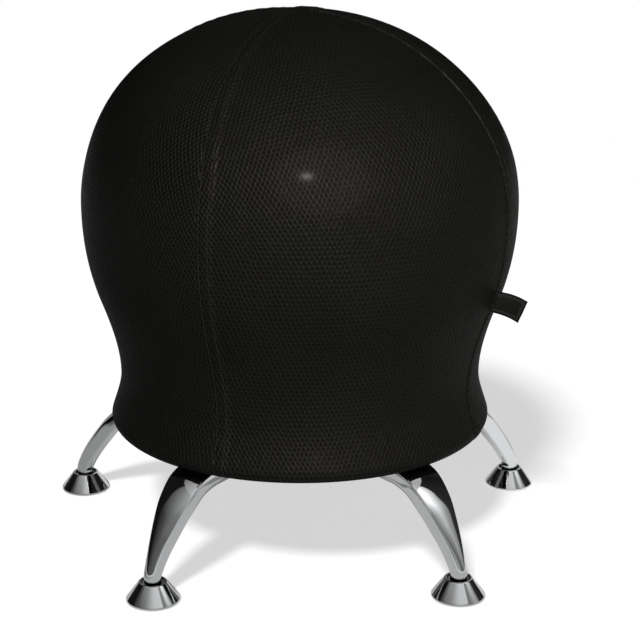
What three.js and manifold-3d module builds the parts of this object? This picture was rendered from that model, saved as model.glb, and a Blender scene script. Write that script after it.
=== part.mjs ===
// Balance ball chair: an inflated ball under a fitted mesh cover, held down on a pressed
// steel pan, on five arched chrome legs that end in swivelling bell feet.
// Millimetres, +Z up. The origin is on the floor, under the middle of the chair's outline box,
// and one leg points along +Y.

import * as THREE from 'three';
import { mergeVertices } from 'three/addons/utils/BufferGeometryUtils.js';
import Module from 'manifold-3d';

const solids = await Module();
solids.setup();

// Fits
const fitGap = 0.3; // air between two pieces that touch
const turningGap = 0.4; // air round the stem on which a foot turns
const ballSlack = 1.2; // air between the ball and its cover
const cutOverrun = 2; // how far a cutter runs past the faces it cuts

// Stance
const legNames = ['back', 'left', 'front_left', 'front_right', 'right']; // anticlockwise
const legCount = legNames.length;
const footCircleRadius = 270.4; // seat axis to the middle of a foot
const legTopHeight = 122.2; // floor to the flat top of a leg's arm
const seatHeight = 584; // floor to the top of the seat

// Cover: the gored mesh bag over the ball
const goreCount = 4;
const firstSeamTurn = -115 * Math.PI / 180; // first seam, counted from +X
const crownRadius = 239.2; // at the seat's widest ring
const crownRise = 190.2; // waist to the widest ring
const waistDrawIn = 11.7; // how far the waist stands in from the rim below it
const waistRise = 49.2; // rim to the waist
const coverThickness = 3;
const seamWidth = 13; // the flat sewn band along each seam
const seamShoulder = 4; // from the band's edge down to the plain cloth
const seamLift = 1.2;
const goreSwell = 1.5; // how far a gore's middle stands out past its seams
const coverTurnUnder = 27.8; // middle of the rim to the cover's cut edge, under the pan
const crownSquareness = 2.05; // 2 would be an ellipse

// Ball: the inflated bladder
const ballWall = 1.6;
const ballFlattening = 4.6; // how much of the ball's foot is pressed flat
const ballSquareness = 2.1;
const valvePocketMargin = 5.5; // air round the plug's head in its pocket
const valvePocketDepth = 4;
const valveBossDepth = 6;
const valveBossRadius = 11;
const valveBoreRadius = 4.5;

// Air plug
const plugHeadRadius = 9.5;
const plugHeadThickness = 2;
const plugHeadRim = 1.4; // width of the rim round the head's finger dish
const plugDishDepth = 0.8;
const plugLength = 12;
const plugTipRadius = 3.4;

// Pan and its edge ring
const panSheet = 3;
const panFlangeWidth = 41; // wall to the flange's outer edge
const panWallRun = 9;
const valveHoleRadius = 30;
const rimRingRadius = 8; // of the ring's round section
const rimCircleRadius = 202; // seat axis to the middle of that section
const rimSlotDepth = 6; // how far the pan's edge stands in the ring

// Hem: a binding tape over the cover's edge, with an elastic cord inside its fold
const elasticRadius = 1.5;
const hemTape = 1.2;
const hemJaw = 9; // how far the tape reaches over the cloth

// Side tab: a folded woven strip sewn into one seam
const tabHeight = 23;
const tabLength = 32;
const tabThickness = 1.4;
const tabDroop = 7.5; // of its free end
const tabDrop = 78; // its top edge, below the widest ring
const tabSeam = 1; // which seam holds it

// Leg: a tapered tube, round at the foot and flat on top
const legFootRadius = 9.15;
const legArmWidth = 46;
const legDepth = 20;
const legFaceDome = 1.6; // how far the outer face swells past its creases
const legWall = 2;
const legArmStart = 50; // seat axis to the arm's closed end
const legEndWall = 2.5;

// Leg screws and their weld nuts
const screwPanInset = 12; // the outer screw, in from the edge of the pan's floor
const screwRadius = 4;
const screwHeadRadius = 7;
const screwHeadHeight = 4.4;
const screwSocketRadius = 2.9;
const screwSocketDepth = 2.6;
const screwEndStand = 1; // thread standing out of the nut
const nutRadius = 7.5; // across corners, halved
const nutHeight = 6.5;

// Foot: insert, stem, bell and sole
const soleThickness = 3.2;
const bellLift = 1; // floor to the bell's lip
const bellRadius = 28.3;
const bellLip = 2;
const bellHeight = 20.4; // lip to the rim round the leg
const bellWall = 2;
const bellMouthGap = 3.25; // air round the leg in the bell's mouth
const bellRimWidth = 2.1;
const bellFloorHeight = 12; // floor to the top of the bell's inner floor
const bellFloorThickness = 2;
const stemHeadRadius = 8.5;
const stemHeadThickness = 2.4;
const stemNeckRadius = 4.8;
const stemCollarRadius = 7.5;
const stemCollarThickness = 1.7;
const stemThreadRadius = 4;
const stemThreadLength = 12;
const insertFlange = 2;
const insertBodyLength = 11;

// Levels that follow from the sizes above
const panFloorBottom = legTopHeight + fitGap;
const panFloorTop = panFloorBottom + panSheet;
const coverBottom = legTopHeight + fitGap;
const rimHeight = coverBottom + coverThickness + fitGap + rimRingRadius;
const rimWrapRadius = rimRingRadius + fitGap + coverThickness;
const panFlangeRadius = rimCircleRadius - rimRingRadius + rimSlotDepth;
const panFloorRadius = panFlangeRadius - panFlangeWidth - panWallRun;
const coverEdgeRadius = rimCircleRadius - coverTurnUnder;
const waistRadius = rimCircleRadius + rimWrapRadius - waistDrawIn;
const waistHeight = rimHeight + waistRise;
const crownHeight = waistHeight + crownRise;
const ballFootHeight = panFloorTop + fitGap;
const ballRadius = crownRadius - coverThickness - ballSlack;
const ballDrop = crownHeight - ballFootHeight + ballFlattening;
const valvePocketRadius = plugHeadRadius + valvePocketMargin;
const nutBottom = panFloorTop + fitGap;
const nutTop = nutBottom + nutHeight;
const screwTop = nutTop + screwEndStand;
const bellFloorBottom = bellFloorHeight - bellFloorThickness;
const collarBottom = bellFloorHeight + fitGap;
const collarTop = collarBottom + stemCollarThickness;
const insertBottom = collarTop + fitGap;
const legFootHeight = insertBottom + insertFlange + fitGap;
const axisShift = footCircleRadius * (1 - Math.cos(Math.PI / legCount)) / 2;

// Finishes
const finish = (color, roughness, metalness) =>
  new THREE.MeshStandardMaterial({ color, roughness, metalness });
const airMesh = finish(0x191917, 0.95, 0);
const ballVinyl = finish(0x4b4f54, 0.45, 0);
const plugVinyl = finish(0xd8d6cf, 0.5, 0);
const tapeCloth = finish(0x161616, 0.9, 0);
const elasticCord = finish(0x2a2a2a, 0.85, 0);
const tabCloth = finish(0x101010, 0.8, 0);
const coatedSteel = finish(0x1b1c1e, 0.5, 0.2);
const edgePlastic = finish(0x202022, 0.6, 0);
const chrome = finish(0xdcdde0, 0.08, 1);
const zincSteel = finish(0xb4b7ba, 0.35, 1);
const nylon = finish(0x232323, 0.6, 0);
const soleRubber = finish(0x1a1a1a, 0.85, 0);

const chair = new THREE.Group();
const seat = new THREE.Group();
seat.position.y = -axisShift;
chair.add(seat);

function place(parent, name, geometry, material) {
  const mesh = new THREE.Mesh(geometry, material);
  mesh.name = name;
  parent.add(mesh);
  return mesh;
}

// Turns a closed surface's triangles over, where needed, so that its faces point out.
function facingOut(geometry) {
  const { index, attributes: { position } } = geometry;
  const corner = (i) => new THREE.Vector3().fromBufferAttribute(position, index.getX(i));
  let volume = 0;
  for (let i = 0; i < index.count; i += 3) {
    volume += corner(i).dot(corner(i + 1).cross(corner(i + 2)));
  }
  if (volume < 0) {
    geometry.setIndex(Array.from(index.array).reverse());
  }
  return geometry;
}

function middleOf(ring) {
  return [0, 1, 2].map((axis) =>
    ring.reduce((sum, point) => sum + point[axis], 0) / ring.length);
}

// A closed surface through rings of points, each ring a list of [x, y, z]. A ring of one point
// is a pole. With wrapped true the last ring joins the first, and otherwise poles end it.
function skin(rings, wrapped = false) {
  const positions = [];
  const starts = rings.map((ring) => {
    const start = positions.length / 3;
    ring.forEach((point) => positions.push(...point));
    return start;
  });
  const triangles = [];
  const joins = wrapped ? rings.length : rings.length - 1;
  for (let i = 0; i < joins; i += 1) {
    const j = (i + 1) % rings.length;
    const count = Math.max(rings[i].length, rings[j].length);
    for (let k = 0; k < count; k += 1) {
      const next = (k + 1) % count;
      const a = starts[i] + (rings[i].length > 1 ? k : 0);
      const b = starts[i] + (rings[i].length > 1 ? next : 0);
      const c = starts[j] + (rings[j].length > 1 ? k : 0);
      const d = starts[j] + (rings[j].length > 1 ? next : 0);
      if (a !== b) {
        triangles.push(a, b, d);
      }
      if (c !== d) {
        triangles.push(a, d, c);
      }
    }
  }
  const geometry = new THREE.BufferGeometry();
  geometry.setAttribute('position', new THREE.Float32BufferAttribute(positions, 3));
  geometry.setIndex(triangles);
  return facingOut(geometry);
}

// The turns, counted from +X, at which the cover's columns of cloth stand: the two edges of
// each seam's band, its shoulders, and even steps across each gore.
const goreTurn = 2 * Math.PI / goreCount;
const bandTurn = seamWidth / 2 / crownRadius;
const shoulderTurn = bandTurn + seamShoulder / crownRadius;
const goreSteps = 6;

function coverColumns() {
  const columns = [];
  for (let gore = 0; gore < goreCount; gore += 1) {
    const seam = firstSeamTurn + gore * goreTurn;
    columns.push(seam - bandTurn, seam + bandTurn);
    for (let step = 0; step <= goreSteps; step += 1) {
      columns.push(seam + shoulderTurn + (goreTurn - 2 * shoulderTurn) * step / goreSteps);
    }
  }
  return columns;
}

const columns = coverColumns();

// A profile of [radius, height, share] points carried round the axis through the given turns.
// lift gives a column's extra radius, of which a point takes its share, or none without one.
// A profile that starts and ends on the axis is closed by its poles, and any other joins its ends.
function revolve(profile, turns, lift = () => 0) {
  const rings = profile.map(([radius, height, share = 0]) => (radius === 0
    ? [[0, 0, height]]
    : turns.map((turn) => {
      const reach = radius + share * lift(turn);
      return [reach * Math.cos(turn), reach * Math.sin(turn), height];
    })));
  return skin(rings, profile[0][0] !== 0);
}

// A small turned piece, from a profile that ends on the axis or comes back to its start.
function turned(profile, sides) {
  const points = profile.map(([radius, height]) => new THREE.Vector2(radius, height));
  return facingOut(new THREE.LatheGeometry(points, sides).rotateX(Math.PI / 2));
}

function toSolid(geometry) {
  const bare = geometry.clone();
  bare.deleteAttribute('normal');
  bare.deleteAttribute('uv');
  const merged = mergeVertices(bare);
  return new solids.Manifold(new solids.Mesh({
    numProp: 3,
    vertProperties: new Float32Array(merged.attributes.position.array),
    triVerts: new Uint32Array(merged.index.array),
  }));
}

function toGeometry(solid) {
  const mesh = solid.getMesh();
  const geometry = new THREE.BufferGeometry();
  geometry.setAttribute('position', new THREE.BufferAttribute(mesh.vertProperties, 3));
  geometry.setIndex(new THREE.BufferAttribute(mesh.triVerts, 1));
  return geometry;
}

// Bores upright holes of one radius through a piece, at the given [x, y] places.
function boreUpright(geometry, places, radius, bottom, top, sides) {
  const height = top - bottom + 2 * cutOverrun;
  let solid = toSolid(geometry);
  places.forEach(([x, y]) => {
    const cutter = new THREE.CylinderGeometry(radius, radius, height, sides)
      .rotateX(Math.PI / 2)
      .translate(x, y, (bottom + top) / 2);
    solid = solid.subtract(toSolid(cutter));
  });
  return toGeometry(solid);
}

// One quarter of a squared ellipse, from its widest point to its pole, in equal turns.
function squaredQuarter(radius, rise, squareness, steps) {
  const points = [];
  for (let step = 0; step <= steps; step += 1) {
    const turn = Math.PI / 2 * step / steps;
    const across = step === steps ? 0 : radius * Math.cos(turn) ** (2 / squareness);
    points.push([across, rise * Math.sin(turn) ** (2 / squareness)]);
  }
  return points;
}

const crownSteps = 6;

// Upper half of a dome, from the axis down to the widest ring.
function dome(radius, topHeight, squareness) {
  return squaredQuarter(radius, topHeight - crownHeight, squareness, crownSteps)
    .map(([across, rise]) => [across, crownHeight + rise])
    .reverse();
}

// Reach of the ball's lower half from the seat axis, at a height above its foot.
function ballReachAt(height) {
  const depthShare = (crownHeight - height) / ballDrop;
  return ballRadius * (1 - depthShare ** ballSquareness) ** (1 / ballSquareness);
}

// Heights of the rows of the ball's lower half, at shares of the quarter turn under it.
const ballTurnShares = [0.125, 0.25, 0.375, 0.5, 0.667, 0.833];
const ballRowHeights = ballTurnShares.map((share) =>
  crownHeight - ballDrop * Math.sin(share * Math.PI / 2) ** (2 / ballSquareness));

// The cloth lies on the ball down to the second of those rows. There it leaves the ball, in a
// parabola that stands upright at the waist, and it lies on the ball again where that is wider.
const clothRowHeights = ballRowHeights.slice(0, 3);
const leavingHeight = clothRowHeights[1];

function clothReach(height) {
  const onBall = (level) => ballReachAt(level) + ballSlack + coverThickness;
  if (height >= leavingHeight) {
    return onBall(height);
  }
  const share = (height - waistHeight) / (leavingHeight - waistHeight);
  const stretched = waistRadius + share ** 2 * (onBall(leavingHeight) - waistRadius);
  return Math.max(onBall(height), stretched);
}

// One face of the cover from the widest ring to the rim, inset by its depth into the cloth.
function skirt(inset, liftShare) {
  const aboveWaistShare = 0.25;
  const flareShare = 0.4;
  const flareDropShare = 0.5;
  const aboveWaist = THREE.MathUtils.lerp(waistHeight, leavingHeight, aboveWaistShare);
  const rows = [...clothRowHeights, aboveWaist].map((height) =>
    [clothReach(height) - inset, height, liftShare]);
  rows.push([waistRadius - inset, waistHeight, liftShare]);
  rows.push([
    waistRadius + flareShare * waistDrawIn - inset,
    waistHeight - flareDropShare * waistRise,
    liftShare,
  ]);
  return rows;
}

// The cover's turn round the rim, from its outermost point to straight below the ring.
const rimWrapTurns = [0, -Math.PI / 4, -Math.PI / 2];

function rimWrap(radius) {
  return rimWrapTurns.map((turn) => [
    rimCircleRadius + radius * Math.cos(turn),
    rimHeight + radius * Math.sin(turn),
  ]);
}

const hemFoldRadius = elasticRadius + fitGap;
const hemHeight = coverBottom + hemTape + hemFoldRadius;
const coverEdgeBottom = hemHeight - coverThickness / 2;

function coverLift(turn) {
  const fromSeam = (((turn - firstSeamTurn) % goreTurn) + goreTurn) % goreTurn;
  const toSeam = Math.min(fromSeam, goreTurn - fromSeam);
  const band = toSeam < (bandTurn + shoulderTurn) / 2 ? seamLift : 0;
  return band + goreSwell * Math.sin(Math.PI * fromSeam / goreTurn);
}

function coverGeometry() {
  const outer = dome(crownRadius, seatHeight, crownSquareness).map(([radius, height]) =>
    [radius, height, radius / crownRadius]);
  const inner = dome(crownRadius - coverThickness, seatHeight - coverThickness, crownSquareness);
  const levelRadius = coverEdgeRadius + hemJaw + fitGap;
  const profile = [
    ...outer,
    ...skirt(0, 1),
    ...rimWrap(rimWrapRadius),
    [levelRadius, coverEdgeBottom],
    [coverEdgeRadius, coverEdgeBottom],
    [coverEdgeRadius, coverEdgeBottom + coverThickness],
    [levelRadius, coverEdgeBottom + coverThickness],
    ...rimWrap(rimWrapRadius - coverThickness).reverse(),
    ...skirt(coverThickness, 0).reverse(),
    ...inner.reverse(),
  ];
  return revolve(profile, columns, coverLift);
}

// Binding tape: a U of tape, open outwards, over the cover's edge and the elastic.
function hemBindingGeometry() {
  const middle = coverEdgeRadius - fitGap - elasticRadius;
  const foldTurns = [-2, -3.33, -4.67, -6].map((eighth) => eighth * Math.PI / 4);
  const fold = (radius) => foldTurns.map((turn) => [
    middle + radius * Math.cos(turn),
    hemHeight + radius * Math.sin(turn),
  ]);
  const tapeOuter = hemFoldRadius + hemTape;
  const jawEnd = coverEdgeRadius + hemJaw;
  const profile = [
    [jawEnd, hemHeight - tapeOuter],
    ...fold(tapeOuter),
    [jawEnd, hemHeight + tapeOuter],
    [jawEnd, hemHeight + hemFoldRadius],
    ...fold(hemFoldRadius).reverse(),
    [jawEnd, hemHeight - hemFoldRadius],
  ];
  return revolve(profile, columns);
}

// Elastic: a cord joined into a ring, in the tape's fold.
function hemElasticGeometry() {
  const sides = 6;
  const middle = coverEdgeRadius - fitGap - elasticRadius;
  const profile = Array.from({ length: sides }, (_, side) => [
    middle + elasticRadius * Math.cos(2 * Math.PI * side / sides),
    hemHeight + elasticRadius * Math.sin(2 * Math.PI * side / sides),
  ]);
  return revolve(profile, columns);
}

// Edge ring: a round moulded ring whose slot, on its inner side, takes the pan's edge.
function rimRingGeometry() {
  const slotHalf = panSheet / 2 + fitGap;
  const mouth = Math.sqrt(rimRingRadius ** 2 - slotHalf ** 2);
  const slotEnd = panFlangeRadius + fitGap;
  const section = [-3, -2, -1, 0, 1, 2, 3].map((eighth) => [
    rimCircleRadius + rimRingRadius * Math.cos(eighth * Math.PI / 4),
    rimHeight + rimRingRadius * Math.sin(eighth * Math.PI / 4),
  ]);
  const profile = [
    [rimCircleRadius - mouth, rimHeight - slotHalf],
    ...section,
    [rimCircleRadius - mouth, rimHeight + slotHalf],
    [slotEnd, rimHeight + slotHalf],
    [slotEnd, rimHeight - slotHalf],
  ];
  return revolve(profile, columns);
}

// The inner nuts stand just outside the ball's foot, and the outer ones near the pan's wall.
const screwCircleRadii = [
  ballReachAt(screwTop + fitGap) + nutRadius,
  panFloorRadius - screwPanInset,
];

function screwPlaces(reach) {
  return Array.from({ length: legCount }, (_, leg) => {
    const turn = Math.PI / 2 + 2 * Math.PI * leg / legCount;
    return [reach * Math.cos(turn), reach * Math.sin(turn)];
  });
}

const allScrewPlaces = screwCircleRadii.flatMap(screwPlaces);
const screwHoleRadius = screwRadius + 2 * fitGap;
const holeSides = 10;

// Pan: a pressed dish with a flat floor on the legs, a sloping wall and a flat flange.
function panGeometry() {
  const flangeBottom = rimHeight - panSheet / 2;
  const flangeTop = flangeBottom + panSheet;
  const wallTop = panFloorRadius + panWallRun;
  const slope = Math.hypot(panWallRun, flangeTop - panFloorTop);
  const bendStep = panSheet * (slope - panWallRun) / (flangeTop - panFloorTop);
  const profile = [
    [valveHoleRadius, panFloorTop],
    [panFloorRadius - bendStep, panFloorTop],
    [wallTop - bendStep, flangeTop],
    [panFlangeRadius, flangeTop],
    [panFlangeRadius, flangeBottom],
    [wallTop, flangeBottom],
    [panFloorRadius, panFloorBottom],
    [valveHoleRadius, panFloorBottom],
  ];
  const plain = revolve(profile, columns);
  return boreUpright(
    plain, allScrewPlaces, screwHoleRadius, panFloorBottom, panFloorTop, holeSides,
  );
}

// Ball: a thin bladder, domed like the cover above and rounder below, pressed flat where it
// stands on the pan, with the air valve's boss in a pocket at its foot.
function ballGeometry() {
  const topHeight = seatHeight - coverThickness - ballSlack;
  const lower = (inset) => ballRowHeights.map((height) => {
    const insetShare = 1 - inset / ballRadius;
    return [ballReachAt(height) * insetShare, crownHeight - (crownHeight - height) * insetShare];
  });
  const footRadius = ballReachAt(ballFootHeight);
  const pocketTop = ballFootHeight + valvePocketDepth;
  const bossTop = pocketTop + valveBossDepth;
  const innerFloor = ballFootHeight + ballWall;
  const pocketWall = valvePocketRadius + ballWall;
  const profile = [
    ...dome(ballRadius, topHeight, crownSquareness),
    ...lower(0),
    [footRadius, ballFootHeight],
    [valvePocketRadius, ballFootHeight],
    [valvePocketRadius, pocketTop],
    [valveBoreRadius, pocketTop],
    [valveBoreRadius, bossTop],
    [valveBossRadius, bossTop],
    [pocketWall, pocketTop + ballWall],
    [pocketWall, innerFloor],
    [footRadius - ballWall, innerFloor],
    ...lower(ballWall).reverse(),
    ...dome(ballRadius - ballWall, topHeight - ballWall, crownSquareness).reverse(),
  ];
  return revolve(profile, columns);
}

// Air plug: a tapered peg with a dished head, pushed up into the valve's bore.
const plugSeatHeight = ballFootHeight + valvePocketDepth - fitGap;

function plugGeometry() {
  const bottom = plugSeatHeight - plugHeadThickness;
  const pegRadius = valveBoreRadius - fitGap;
  return turned([
    [0, bottom + plugDishDepth],
    [plugHeadRadius - 2 * plugHeadRim, bottom + plugDishDepth],
    [plugHeadRadius - plugHeadRim, bottom],
    [plugHeadRadius, bottom],
    [plugHeadRadius, plugSeatHeight],
    [pegRadius, plugSeatHeight],
    [plugTipRadius, plugSeatHeight + plugLength],
    [0, plugSeatHeight + plugLength],
  ], 16);
}

// Radius of the cover's cloth on a seam, at a height between two rows of the draw-in.
function seamReach(height) {
  const rows = skirt(0, 1);
  const lower = rows.findIndex((row) => row[1] <= height);
  const [below, above] = [rows[lower], rows[lower - 1] ?? [crownRadius, crownHeight]];
  const share = (height - below[1]) / (above[1] - below[1]);
  return below[0] + share * (above[0] - below[0]) + seamLift;
}

// Side tab: a folded strip that stands out of its seam and droops at its free end.
function tabGeometry() {
  const steps = 5;
  const half = tabThickness / 2;
  const top = crownHeight - tabDrop;
  const edges = [top - tabHeight, top].map((height) => [seamReach(height) + fitGap, height]);
  const rings = [];
  for (let step = 0; step <= steps; step += 1) {
    const share = step / steps;
    const [low, high] = edges.map(([reach, height]) =>
      [reach + tabLength * share, height - tabDroop * share ** 2]);
    rings.push([
      [low[0], -half, low[1]],
      [low[0], half, low[1]],
      [high[0], half, high[1]],
      [high[0], -half, high[1]],
    ]);
  }
  return skin([[middleOf(rings[0])], ...rings, [middleOf(rings[steps])]])
    .rotateZ(firstSeamTurn + tabSeam * goreTurn);
}

// Leg. Each row is a place on the leg's top line, from the arm's closed end to the foot: its
// shares of the reach and of the height, then how far the width and the squareness have gone
// from the round foot to the arm, and how much of the width the flat top takes.
const legRowShares = [
  [0, 1, 1, 1, 0.957],
  [0.436, 1, 1, 1, 0.957],
  [0.545, 1, 1, 1, 0.957],
  [0.623, 0.989, 0.946, 1, 0.955],
  [0.714, 0.925, 0.874, 0.93, 0.965],
  [0.81, 0.749, 0.693, 0.83, 0.96],
  [0.88, 0.558, 0.404, 0.67, 0.915],
  [0.938, 0.378, 0.151, 0.4, 0.756],
  [0.979, 0.222, 0.025, 0.13, 0.474],
  [1, 0.108, 0, 0, 0.246],
  [1, 0, 0, 0, 0.08],
];
const legStations = [0, 1, 2, 3, 3.5, 4, 4.5, 5, 6, 7, 8, 9, 10];
const lastLevelStation = 2;
const legSectionPoints = 13;
const facePlaceShares = [-0.5, 0, 0.5]; // from the middle of the face to its creases
const fullDomeStation = 4;
const roundSquareness = 2;
const armSquareness = 5;

// One section of the leg: half a squared ellipse and more, cut off between two creases by the
// outer face, which is flat or a low dome. across runs round the seat, and up stands square to
// the top line, from zero at the creases.
function legSection(width, depth, squareness, flatShare, dome, inset) {
  const creaseTurn = Math.acos(flatShare ** (squareness / 2));
  const rise = Math.sin(creaseTurn) ** (2 / squareness);
  const halfDepth = depth / (1 + rise);
  const sweep = Math.PI + 2 * creaseTurn;
  const body = Array.from({ length: legSectionPoints }, (_, point) => {
    const turn = creaseTurn - sweep * point / (legSectionPoints - 1);
    const [c, s] = [Math.cos(turn), Math.sin(turn)];
    const across = (width / 2 - inset) * Math.sign(c) * Math.abs(c) ** (2 / squareness);
    const level = (halfDepth - inset) * Math.sign(s) * Math.abs(s) ** (2 / squareness);
    return [across, Math.min(level, rise * halfDepth - inset) - rise * halfDepth];
  });
  const [creaseAcross, creaseLevel] = body[0];
  const face = facePlaceShares.map((share) =>
    [creaseAcross * share, creaseLevel + dome * (1 - share ** 2)]);
  return [...body, ...face];
}

function legRings(inset) {
  const reach = footCircleRadius + legFootRadius - legArmStart;
  const height = legTopHeight - legFootHeight;
  const topLine = new THREE.CatmullRomCurve3(legRowShares.map(([out, up]) =>
    new THREE.Vector3(0, legArmStart + out * reach, legFootHeight + up * height)));
  const form = new THREE.CatmullRomCurve3(legRowShares.map(([, , width, square, flat]) =>
    new THREE.Vector3(width, square, flat)));
  return legStations.map((station) => {
    const share = station / (legRowShares.length - 1);
    const spot = topLine.getPoint(share);
    const along = topLine.getTangent(share);
    const { x: widthShare, y: squareShare, z: flatShare } = form.getPoint(share);
    const footWidth = 2 * legFootRadius;
    const domeShare = THREE.MathUtils.smoothstep(station, lastLevelStation, fullDomeStation);
    const section = legSection(
      THREE.MathUtils.lerp(footWidth, legArmWidth, widthShare),
      THREE.MathUtils.lerp(footWidth, legDepth, Math.max(widthShare, 0)),
      THREE.MathUtils.lerp(roundSquareness, armSquareness, Math.max(squareShare, 0)),
      flatShare,
      legFaceDome * domeShare * flatShare,
      inset,
    );
    const isLevel = station <= lastLevelStation;
    const [normalY, normalZ] = isLevel ? [0, 1] : [-along.z, along.y];
    return section.map(([across, up]) =>
      [across, spot.y + up * normalY, spot.z + up * normalZ]);
  });
}

function legGeometry() {
  const outer = legRings(0);
  const inner = legRings(legWall);
  inner[0] = inner[0].map(([x, y, z]) => [x, y + legEndWall, z]);
  const tube = skin([
    [middleOf(outer[0])],
    ...outer,
    ...inner.reverse(),
    [middleOf(inner[inner.length - 1])],
  ]);
  const places = screwCircleRadii.map((reach) => [0, reach]);
  return boreUpright(
    tube, places, screwHoleRadius, legTopHeight - legDepth, legTopHeight, holeSides,
  );
}

// Leg screws: from below, through the arm and the pan, into the nuts.
function screwGeometry() {
  const seatLevel = legTopHeight - legDepth - fitGap;
  const bottom = seatLevel - screwHeadHeight;
  const crown = screwHeadHeight / 2;
  return turned([
    [0, bottom + screwSocketDepth],
    [screwSocketRadius, bottom + screwSocketDepth],
    [screwSocketRadius, bottom],
    [(screwSocketRadius + screwHeadRadius) / 2, bottom],
    [screwHeadRadius, bottom + crown],
    [screwHeadRadius, seatLevel],
    [screwRadius, seatLevel],
    [screwRadius, screwTop],
    [0, screwTop],
  ], 8);
}

function nutGeometry() {
  const hexSides = 6;
  const bore = (screwRadius + fitGap) / Math.cos(Math.PI / hexSides);
  return turned([
    [bore, nutBottom],
    [nutRadius, nutBottom],
    [nutRadius, nutTop],
    [bore, nutTop],
    [bore, nutBottom],
  ], hexSides);
}

// Foot: the bell turns on the stem, between the stem's head and its collar.
function bellGeometry() {
  const mouthRadius = legFootRadius + bellMouthGap;
  const topRadius = mouthRadius + bellRimWidth;
  const lipTop = bellLift + bellLip;
  const top = bellLift + bellHeight;
  const neckHole = stemNeckRadius + turningGap;
  const coneSlope = (bellRadius - topRadius) / (top - lipTop);
  const wallAcross = bellWall * Math.hypot(1, coneSlope);
  const coneInside = (height) => bellRadius - coneSlope * (height - lipTop) - wallAcross;
  const ledge = soleThickness + fitGap;
  const soleWell = bellRadius - bellWall;
  return turned([
    [bellRadius, bellLift],
    [bellRadius, lipTop],
    [topRadius, top],
    [mouthRadius, top],
    [mouthRadius, bellFloorHeight],
    [neckHole, bellFloorHeight],
    [neckHole, bellFloorBottom],
    [coneInside(bellFloorBottom), bellFloorBottom],
    [coneInside(ledge), ledge],
    [soleWell, ledge],
    [soleWell, bellLift],
    [bellRadius, bellLift],
  ], 24);
}

function soleGeometry() {
  const radius = bellRadius - bellWall - fitGap;
  const bevel = bellLift - fitGap;
  return turned([
    [0, 0],
    [radius - bevel, 0],
    [radius, bevel],
    [radius, soleThickness],
    [0, soleThickness],
  ], 24);
}

function stemGeometry() {
  const headTop = bellFloorBottom - fitGap;
  return turned([
    [0, headTop - stemHeadThickness],
    [stemHeadRadius, headTop - stemHeadThickness],
    [stemHeadRadius, headTop],
    [stemNeckRadius, headTop],
    [stemNeckRadius, collarBottom],
    [stemCollarRadius, collarBottom],
    [stemCollarRadius, collarTop],
    [stemThreadRadius, collarTop],
    [stemThreadRadius, collarTop + stemThreadLength],
    [0, collarTop + stemThreadLength],
  ], 10);
}

function insertGeometry() {
  const flangeRadius = legFootRadius - fitGap;
  const flangeTop = insertBottom + insertFlange;
  const bodyRadius = legFootRadius - legWall - 2 * fitGap;
  const bore = stemThreadRadius + 2 * fitGap;
  return turned([
    [bore, insertBottom],
    [flangeRadius, insertBottom],
    [flangeRadius, flangeTop],
    [bodyRadius, flangeTop],
    [bodyRadius, flangeTop + insertBodyLength],
    [bore, flangeTop + insertBodyLength],
    [bore, insertBottom],
  ], 14);
}

// The seat
place(seat, 'seat_cover', coverGeometry(), airMesh);
place(seat, 'hem_binding', hemBindingGeometry(), tapeCloth);
place(seat, 'hem_elastic', hemElasticGeometry(), elasticCord);
place(seat, 'side_tab', tabGeometry(), tabCloth);
place(seat, 'air_ball', ballGeometry(), ballVinyl);
place(seat, 'air_plug', plugGeometry(), plugVinyl);
place(seat, 'rim_ring', rimRingGeometry(), edgePlastic);
place(seat, 'seat_pan', panGeometry(), coatedSteel);

// The legs, counted anticlockwise from the one that points along +Y
const rowNames = ['inner', 'outer'];
legNames.forEach((side, index) => {
  const leg = new THREE.Group();
  leg.rotation.z = 2 * Math.PI * index / legCount;
  seat.add(leg);
  const foot = new THREE.Group();
  foot.position.y = footCircleRadius;
  leg.add(foot);
  place(leg, `leg_${side}`, legGeometry(), chrome);
  screwCircleRadii.forEach((reach, row) => {
    const bolted = new THREE.Group();
    bolted.position.y = reach;
    leg.add(bolted);
    place(bolted, `leg_screw_${side}_${rowNames[row]}`, screwGeometry(), zincSteel);
    place(bolted, `leg_nut_${side}_${rowNames[row]}`, nutGeometry(), zincSteel);
  });
  place(foot, `leg_insert_${side}`, insertGeometry(), nylon);
  place(foot, `foot_stem_${side}`, stemGeometry(), zincSteel);
  place(foot, `foot_bell_${side}`, bellGeometry(), chrome);
  place(foot, `foot_sole_${side}`, soleGeometry(), soleRubber);
});

export default chair;
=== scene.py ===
# Balance ball chair: an inflated ball under a sewn mesh cover, on five arched chrome legs that
# end in bell feet. Metres, +Z up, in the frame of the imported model.

import math

import bmesh
import bpy
import numpy as np
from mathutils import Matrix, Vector


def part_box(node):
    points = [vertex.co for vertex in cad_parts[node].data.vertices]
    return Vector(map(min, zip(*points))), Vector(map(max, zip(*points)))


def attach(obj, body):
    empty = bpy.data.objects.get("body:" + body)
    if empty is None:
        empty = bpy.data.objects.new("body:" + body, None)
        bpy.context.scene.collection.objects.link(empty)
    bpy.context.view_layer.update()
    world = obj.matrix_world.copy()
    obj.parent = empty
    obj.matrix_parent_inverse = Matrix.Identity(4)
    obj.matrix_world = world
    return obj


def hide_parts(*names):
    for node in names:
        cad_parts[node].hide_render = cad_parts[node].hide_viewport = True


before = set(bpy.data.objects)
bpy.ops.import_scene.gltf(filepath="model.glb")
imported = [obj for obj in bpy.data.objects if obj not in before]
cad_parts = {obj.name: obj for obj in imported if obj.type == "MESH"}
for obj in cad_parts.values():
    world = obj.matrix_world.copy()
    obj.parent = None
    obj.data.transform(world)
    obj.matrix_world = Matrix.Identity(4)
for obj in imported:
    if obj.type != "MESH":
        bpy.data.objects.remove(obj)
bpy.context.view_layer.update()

MM = 0.001
TURN = 2 * math.pi
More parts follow.
